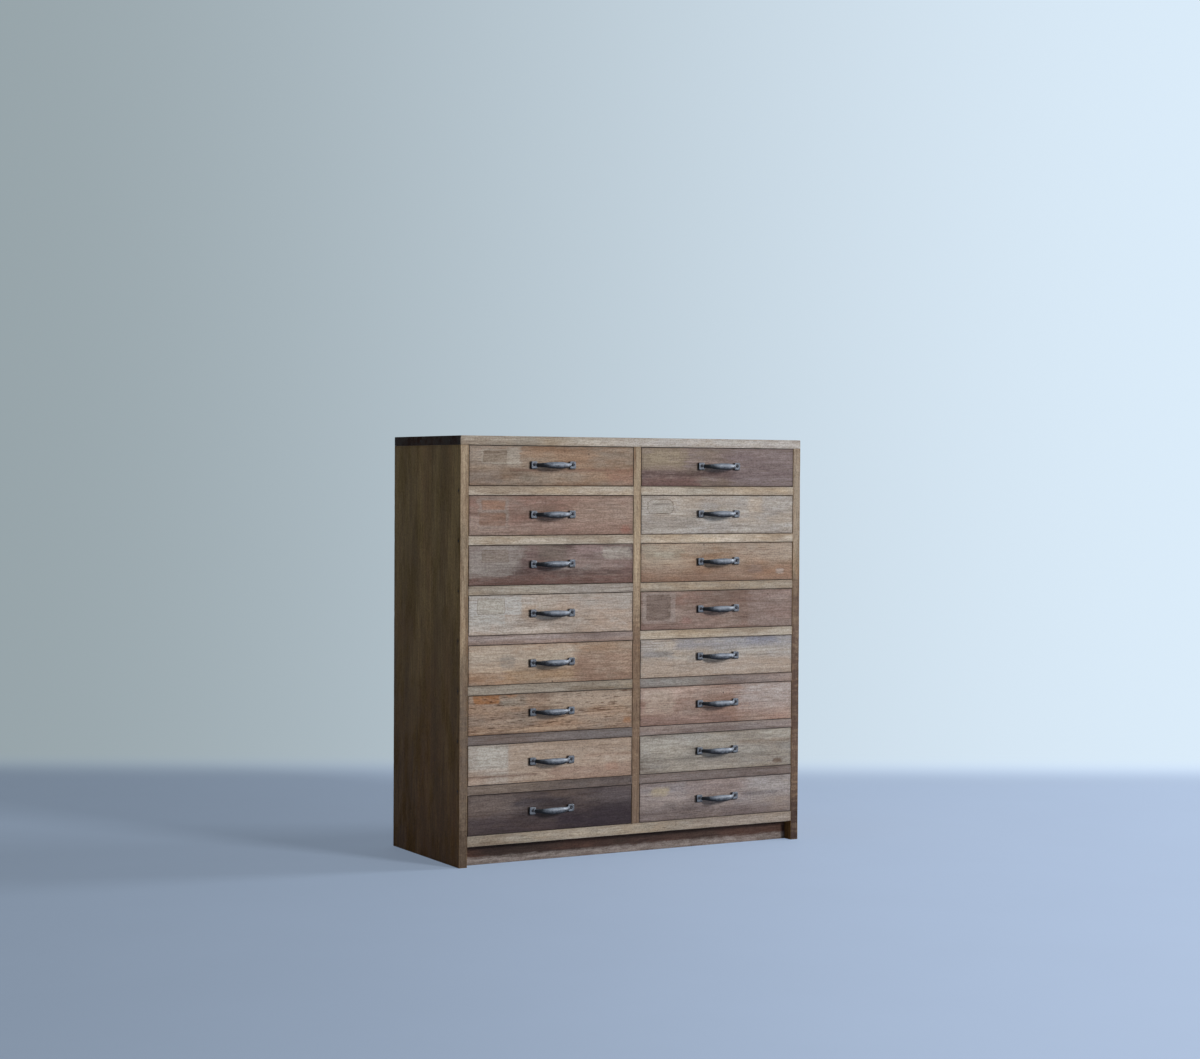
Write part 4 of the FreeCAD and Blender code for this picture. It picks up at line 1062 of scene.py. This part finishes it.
def makePulls(shape, screws):
    low, high = pullBox("left", 1)
    length, height = high.x - low.x, high.z - low.z
    castings = [makeCasting(shape, length, height, seed) for seed in range(shape["castings"])]
    chance = random.Random(9)
    screwReach = (length - shape["footWidth"]) / 2
    for number, (side, row) in enumerate([(side, row) for side in sides for row in rows]):
        node = f"{drawerName(side, row)}_pull"
        low, high = pullBox(side, row)
        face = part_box(f"{drawerName(side, row)}_front")[0].y
        spot = Vector(((low.x + high.x) / 2, face, (low.z + high.z) / 2))
        tilt = math.radians(chance.uniform(-1, 1) * shape["tilt"])
        there = Matrix.Translation(spot) @ Matrix.Rotation(tilt, 4, "Y")
        mesh = castings[number * 3 % len(castings)].data.copy()
        mesh.transform(there)
        casting = bpy.data.objects.new(f"{node}_casting", mesh)
        bpy.context.scene.collection.objects.link(casting)
        mesh.materials.append(ironMaterial)
        dress(casting, drawerName(side, row), "iron", node)
        points = [there @ Vector((hand * screwReach, -shape["footThickness"] + shape["dish"][1] * 0.7, 0))
                  for hand in (-1, 1)]
        heads = grown(f"{node}_screws", points, [], screwTree, {**screws, "Seed": number}, screwSteel)
        dress(heads, drawerName(side, row), "iron", node)
    for casting in castings:
        bpy.data.objects.remove(casting)


makePulls(pullShape, screwShape)
print("pulls done")


# Carcass boards

leftLow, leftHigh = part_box("left_side_panel")
rightLow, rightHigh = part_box("right_side_panel")
topLow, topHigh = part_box("top_board")
bottomLow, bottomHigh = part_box("bottom_board")
dividerLow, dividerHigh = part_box("centre_divider")
backLow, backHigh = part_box("back_panel")


def railBox(side, row):
    # a rail fills its opening's width between two rows of drawers
    above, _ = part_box(f"{drawerName(side, row)}_front")
    _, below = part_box(f"{drawerName(side, row + 1)}_front")
    railLow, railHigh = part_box("front_rails")
    left = leftHigh.x if side == "left" else dividerHigh.x
    right = dividerLow.x if side == "left" else rightLow.x
    gap = 1 * mm
    return (Vector((left, railLow.y, below.z + gap)), Vector((right, railHigh.y, above.z - gap)))


nailShape = {
    "setback": 9 * mm,
    "topSetback": 53 * mm,
    "topSpacing": 148 * mm,
    "proud": 0.3 * mm,
    "head": {"Radius": 2.4 * mm, "Height": 0.5 * mm, "Shank": 1.2 * mm, "Length": 40 * mm, "Tilt": 0.05,
             "Seed": 3},
}

railHeights = [sum(corner.z for corner in railBox("left", row)) / 2 for row in railRows]
rustLine = {"Column": leftLow.y + nailShape["setback"], "Start": railHeights[-1],
            "Pitch": (railHeights[0] - railHeights[-1]) / (len(railHeights) - 1),
            "Last": len(railHeights) - 1, "Reach": 7 * mm}
sideStaves = ("Y", 71 * mm, 0.22, 0.5)


def panelBoard(node, low, high, toneName, grain, slot, seed, **changes):
    material = woodMaterial(f"{node}_wood", tones[toneName], low, high, grain, seed * 2.9, **changes)
    piece = pieceFrom(boardMesh(low, high, boardWear, seed), f"{node}_board", material)
    return dress(piece, "cabinet", slot, node)


def rebate(piece, low, high):
    # the step at the back of a side panel that the back panel lies in
    cutter = bmesh.new()
    bmesh.ops.create_cube(cutter, size=1.0)
    size = high - low
    for vertex in cutter.verts:
        vertex.co = low + Vector([size[axis] * (vertex.co[axis] + 0.5) for axis in range(3)])
    combine(piece, pieceFrom(cutter, "cutter"), "DIFFERENCE")


def lowerStain(top, soft, colour, foot):
    # an upright edge that is darker and browner towards the floor
    return (mark(-400, 420, -300, top, colour, 0.95, soft=soft, ragged=(0, 90)),
            mark(-400, 420, -300, 100, foot, 0.9, soft=40, ragged=(0, 60)))


stileMarks = {
    "left_side_panel": lowerStain(410, 110, tone(102, 88, 76), tone(82, 67, 54)),
    "centre_divider": lowerStain(500, 90, tone(114, 93, 76), tone(118, 99, 83)),
    "right_side_panel": lowerStain(610, 60, tone(95, 75, 63), tone(56, 40, 35)) + (
        mark(-400, 420, 680, 1300, tone(158, 145, 129), 0.6, soft=50),
        mark(-400, 420, 240, 430, tone(76, 57, 49), 0.7, soft=60, ragged=(0, 120)),),
}
over = 2 * mm
for node, low, high, seed in (("left_side_panel", leftLow, leftHigh, 31),
                              ("right_side_panel", rightLow, rightHigh, 32)):
    # painted shade: fall darkens and browns the side panels' outer faces towards the floor
    panel = panelBoard(node, low, high, "side", "Z", "side_board", seed, front=tones["stile"],
                       staves=sideStaves, nails=rustLine, fall=1.0, shade=0.93,
                       marks=placed(stileMarks[node], low))
    rebate(panel, Vector((backLow.x, backLow.y, low.z - over)),
           Vector((backHigh.x, high.y + over, high.z + over)))

paleEnd = (mark(400, 1400, -400, 420, tone(176, 170, 164), 0.95, soft=150, ragged=(90, 0)),)
panelBoard("top_board", topLow, topHigh, "edge", "X", "top_board", 33, staves=("Y", 86 * mm, 0.14, 0.5),
           shade=1.16, marks=placed(paleEnd, topLow),
           end=(0.095, 0.032, 0.014, 1))
panelBoard("bottom_board", Vector((leftHigh.x, bottomLow.y, bottomLow.z)),
           Vector((rightLow.x, bottomHigh.y, bottomHigh.z)), "edge", "X", "frame_edge", 34, shade=0.98,
           marks=placed((mark(560, 1400, -400, 420, tone(150, 138, 130), 0.6, soft=120),), bottomLow))
panelBoard("centre_divider", Vector((dividerLow.x, dividerLow.y, bottomHigh.z)),
           Vector((dividerHigh.x, dividerHigh.y, leftHigh.z)), "stile", "Z", "frame_edge", 35, shade=1.1,
           marks=placed(stileMarks["centre_divider"], dividerLow))
# painted shade: only the pale band at the plinth's foot shows its lighter tone; the dark plinth above it
# stands for the shade under the bottom board
plinthMarks = (mark(-5, 900, -10, 15, tone(140, 130, 124), 0.9, soft=5, ragged=(20, 12)),)
for node, seed in (("front_plinth_board", 36), ("rear_plinth_board", 37)):
    low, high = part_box(node)
    panelBoard(node, low, high, "plinth", "X", "plinth_board", seed, shade=0.98,
               marks=placed(plinthMarks, low))
print("carcass boards done")


# Rails, each with its own family of tones and shade

railLooks = {
    "left": (("edge", 1.4), ("edge", 1.25), ("edge", 0.94), ("dusky", 1.16), ("edge", 0.9),
             ("dusky", 0.6), ("dusky", 0.54)),
    "right": (("edge", 1.22), ("edge", 1.42), ("edge", 1.12), ("edge", 1.16), ("dusky", 1.0),
              ("dusky", 0.94), ("dusky", 0.8)),
}
railMarks = {
    "left_3": (mark(220, 800, -200, 220, tone(152, 145, 140), 0.6, soft=60),),
    "left_4": (mark(-100, 500, -200, 8, tone(146, 118, 98), 0.4, soft=6),),
    "left_6": (mark(230, 800, -200, 220, tone(120, 114, 112), 0.6, soft=80),),
    "left_7": (mark(-300, 190, -200, 220, tone(128, 114, 102), 0.8, soft=70, ragged=(60, 0)),
               mark(330, 700, 6, 220, tone(78, 66, 64), 0.7, soft=12, ragged=(90, 12))),
    "right_5": (mark(-300, 190, -200, 220, tone(136, 134, 128), 0.7, soft=70),),
    "right_6": (mark(-300, 700, 14, 120, tone(158, 146, 138), 0.6, soft=4, ragged=(70, 6)),),
    "right_7": (mark(-300, 260, -200, 220, tone(122, 112, 108), 0.6, soft=90),),
}

for number, (side, row) in enumerate([(side, row) for side in sides for row in railRows], 41):
    low, high = railBox(side, row)
    name = f"rail_{side}_{row}"
    family, shade = railLooks[side][row - 1]
    material = woodMaterial(f"{name}_wood", tones[family], low, high, "X", number * 2.3, shade=shade,
                            marks=placed(railMarks.get(f"{side}_{row}", ()), low))
    piece = pieceFrom(boardMesh(low, high, boardWear, number), name, material)
    dress(piece, "cabinet", "frame_edge", "front_rails")
print("rails done")


# Back panel, with pins along its edges

backShape = {
    "inset": 0.5 * mm,  # how far its face lies inside the rebates
    "margin": 5 * mm,
    "pins": {"Spacing": 88 * mm, "Radius": 2.2 * mm, "Height": 0.42 * mm, "Seed": 5},
}

backFace = Vector((backHigh.x, backHigh.y - backShape["inset"], backHigh.z))
backMaterial = woodMaterial("back_panel_wood", tones["back"], backLow, backFace, "Z", 83.0,
                            rings=0.5, ringGap=0.02, greying=0.4, arris=0.2)
back = pieceFrom(boardMesh(backLow, backFace, {**boardWear, "pitch": 22 * mm, "arris": 0.4 * mm,
                                               "wander": 0.3 * mm}, 38), "back_panel_board", backMaterial)
dress(back, "cabinet", "back_board", "back_panel")

nailSteel = makeSteel("nailSteel", tone(34, 31, 30), tone(62, 56, 54), 0.5)
margin = backShape["margin"]
corners = [(backLow.x + margin, backFace.y, backLow.z + margin),
           (backFace.x - margin, backFace.y, backLow.z + margin),
           (backFace.x - margin, backFace.y, backHigh.z - margin),
           (backLow.x + margin, backFace.y, backHigh.z - margin)]
pins = grown("back_pins", corners, [(0, 1), (1, 2), (2, 3), (3, 0)], makePinTree(),
             backShape["pins"], nailSteel)
dress(pins, "cabinet", "steel_nail")
print("back done")


# Nails through the sides into the rails, and in the ends of the top board

def makeNails(shape):
    points = []
    for hand, edge in ((-1, leftLow.x), (1, rightHigh.x)):
        across = edge + hand * (shape["proud"] - shape["head"]["Height"])
        for height in railHeights:
            points.append((across, leftLow.y + shape["setback"], height))
        for step in range(2):
            points.append((across, topLow.y + shape["topSetback"] + step * shape["topSpacing"],
                           (topLow.z + topHigh.z) / 2))
    nails = grown("side_nails", points, [], makeNailTree(), shape["head"], nailSteel)
    dress(nails, "cabinet", "steel_nail", "carcass_nails")


makeNails(nailShape)

for node, grain, shift in (("drawer_runners", "Y", 91.0), ("drawer_stops", "Y", 97.0)):
    wood = plainWood(f"{node}_wood", tones["inner"], grain, shift=shift)
    for holder in bpy.data.objects[node].material_slots:
        holder.material = wood
print("nails and inner pieces done")


# Floor and light

stageSettings = {
    "floorRadius": 14.0,
    "cove": (0.95, 1.7),  # how far behind the cabinet the floor turns into the backdrop's tone
    "glow": 0.34,  # the backdrop's share in the floor's own tone
    "floor": tone(174, 193, 219),
    "blue": (0.95, 1.0, 1.2, 1.0),
    "backdrop": (tone(150, 163, 168), tone(220, 237, 251)),  # at the photograph's left and at its right
    "spread": 0.30,
    "across": (0.872, -0.489, 0.0),
    "ahead": (0.489, 0.872, 0.0),
}


# painted light: the backdrop is paler and bluer towards the right, as if a window lit it there; the floor's
# glow and the reflections share it
def backdropTone(tree, direction, settings):
    share = ramp(tree, vectorMaths(tree, "DOT_PRODUCT", direction, settings["across"]),
                 -settings["spread"], settings["spread"])
    return blended(tree, share, *settings["backdrop"])


def makeStage(settings):
    net = bmesh.new()
    bmesh.ops.create_circle(net, cap_ends=True, segments=96, radius=settings["floorRadius"])
    material = bpy.data.materials.new("paleFloor")
    material.use_nodes = True
    tree = material.node_tree
    shader = tree.nodes["Principled BSDF"]
    here = addNode(tree, "ShaderNodeTexCoord").outputs["Object"]
    away = ramp(tree, vectorMaths(tree, "DOT_PRODUCT", here, settings["ahead"]), *settings["cove"])
    cloud = noiseOf(tree, here, (2.5, 2.5, 2.5), 4)
    cloudShare = ramp(tree, cloud, 0.3, 0.7, 0.0, 0.06)
    colour = blended(tree, cloudShare, settings["floor"], (0.5, 0.5, 0.5, 1), "MULTIPLY")
    feed(tree, shader.inputs["Base Color"], colour)
    shader.inputs["Roughness"].default_value = 0.75
    seen = vectorMaths(tree, "NORMALIZE", vectorMaths(tree, "SUBTRACT", here, cameraSettings["place"]))
    wall = backdropTone(tree, seen, settings)
    near = blended(tree, 1.0, wall, settings["blue"], "MULTIPLY")
    glow = addNode(tree, "ShaderNodeEmission", {
        "Color": blended(tree, away, near, wall), "Strength": 1.0})
    share = maths(tree, "MULTIPLY", ramp(tree, away, 0.0, 1.0, settings["glow"], 1.0), seenDirectly(tree))
    both = addNode(tree, "ShaderNodeMixShader")
    for index, item in enumerate((share, shader.outputs[0], glow.outputs[0])):
        feed(tree, both.inputs[index], item)
    feed(tree, tree.nodes["Material Output"].inputs["Surface"], both.outputs[0])
    pieceFrom(net, "floor", material)


def seenDirectly(tree):
    ray = addNode(tree, "ShaderNodeLightPath").outputs
    return maths(tree, "MAXIMUM", ray["Is Camera Ray"], maths(
        tree, "MAXIMUM", ray["Is Glossy Ray"], ray["Is Transmission Ray"]))


makeStage(stageSettings)

lightSettings = {
    "key": {"place": (3.5, -7.75, 3.5), "size": 1.8, "power": 484, "colour": (1.0, 0.99, 0.98)},
    "window": {"place": (7.2, -1.9, 2.2), "size": 2.0, "power": 385, "colour": (0.96, 0.98, 1.0)},
    "ambient": (0.72, 0.72, 0.72, 1),
    "ambientStrength": 0.17,
}


def makeLamp(name, settings, aim):
    data = bpy.data.lights.new(name, "AREA")
    data.shape = "SQUARE"
    data.size = settings["size"]
    data.energy = settings["power"]
    data.color = settings["colour"]
    lamp = bpy.data.objects.new(name, data)
    bpy.context.scene.collection.objects.link(lamp)
    lamp.location = settings["place"]
    lamp.rotation_euler = (Vector(aim) - lamp.location).to_track_quat("-Z", "Y").to_euler()


def makeWorld(settings, stage):
    world = bpy.data.worlds.new("studio")
    bpy.context.scene.world = world
    world.use_nodes = True
    tree = world.node_tree
    lit = tree.nodes["Background"]
    lit.inputs["Color"].default_value = settings["ambient"]
    lit.inputs["Strength"].default_value = settings["ambientStrength"]
    direction = addNode(tree, "ShaderNodeTexCoord").outputs["Generated"]
    shown = addNode(tree, "ShaderNodeBackground", {
        "Color": backdropTone(tree, direction, stage), "Strength": 1.0})
    both = addNode(tree, "ShaderNodeMixShader")
    for index, item in enumerate((seenDirectly(tree), lit.outputs[0], shown.outputs[0])):
        feed(tree, both.inputs[index], item)
    feed(tree, tree.nodes["World Output"].inputs["Surface"], both.outputs[0])


for name in ("key", "window"):
    makeLamp(name, lightSettings[name], (0, 0, 0.45))
makeWorld(lightSettings, stageSettings)
bpy.context.scene.view_settings.view_transform = "Standard"
print("floor and light done")
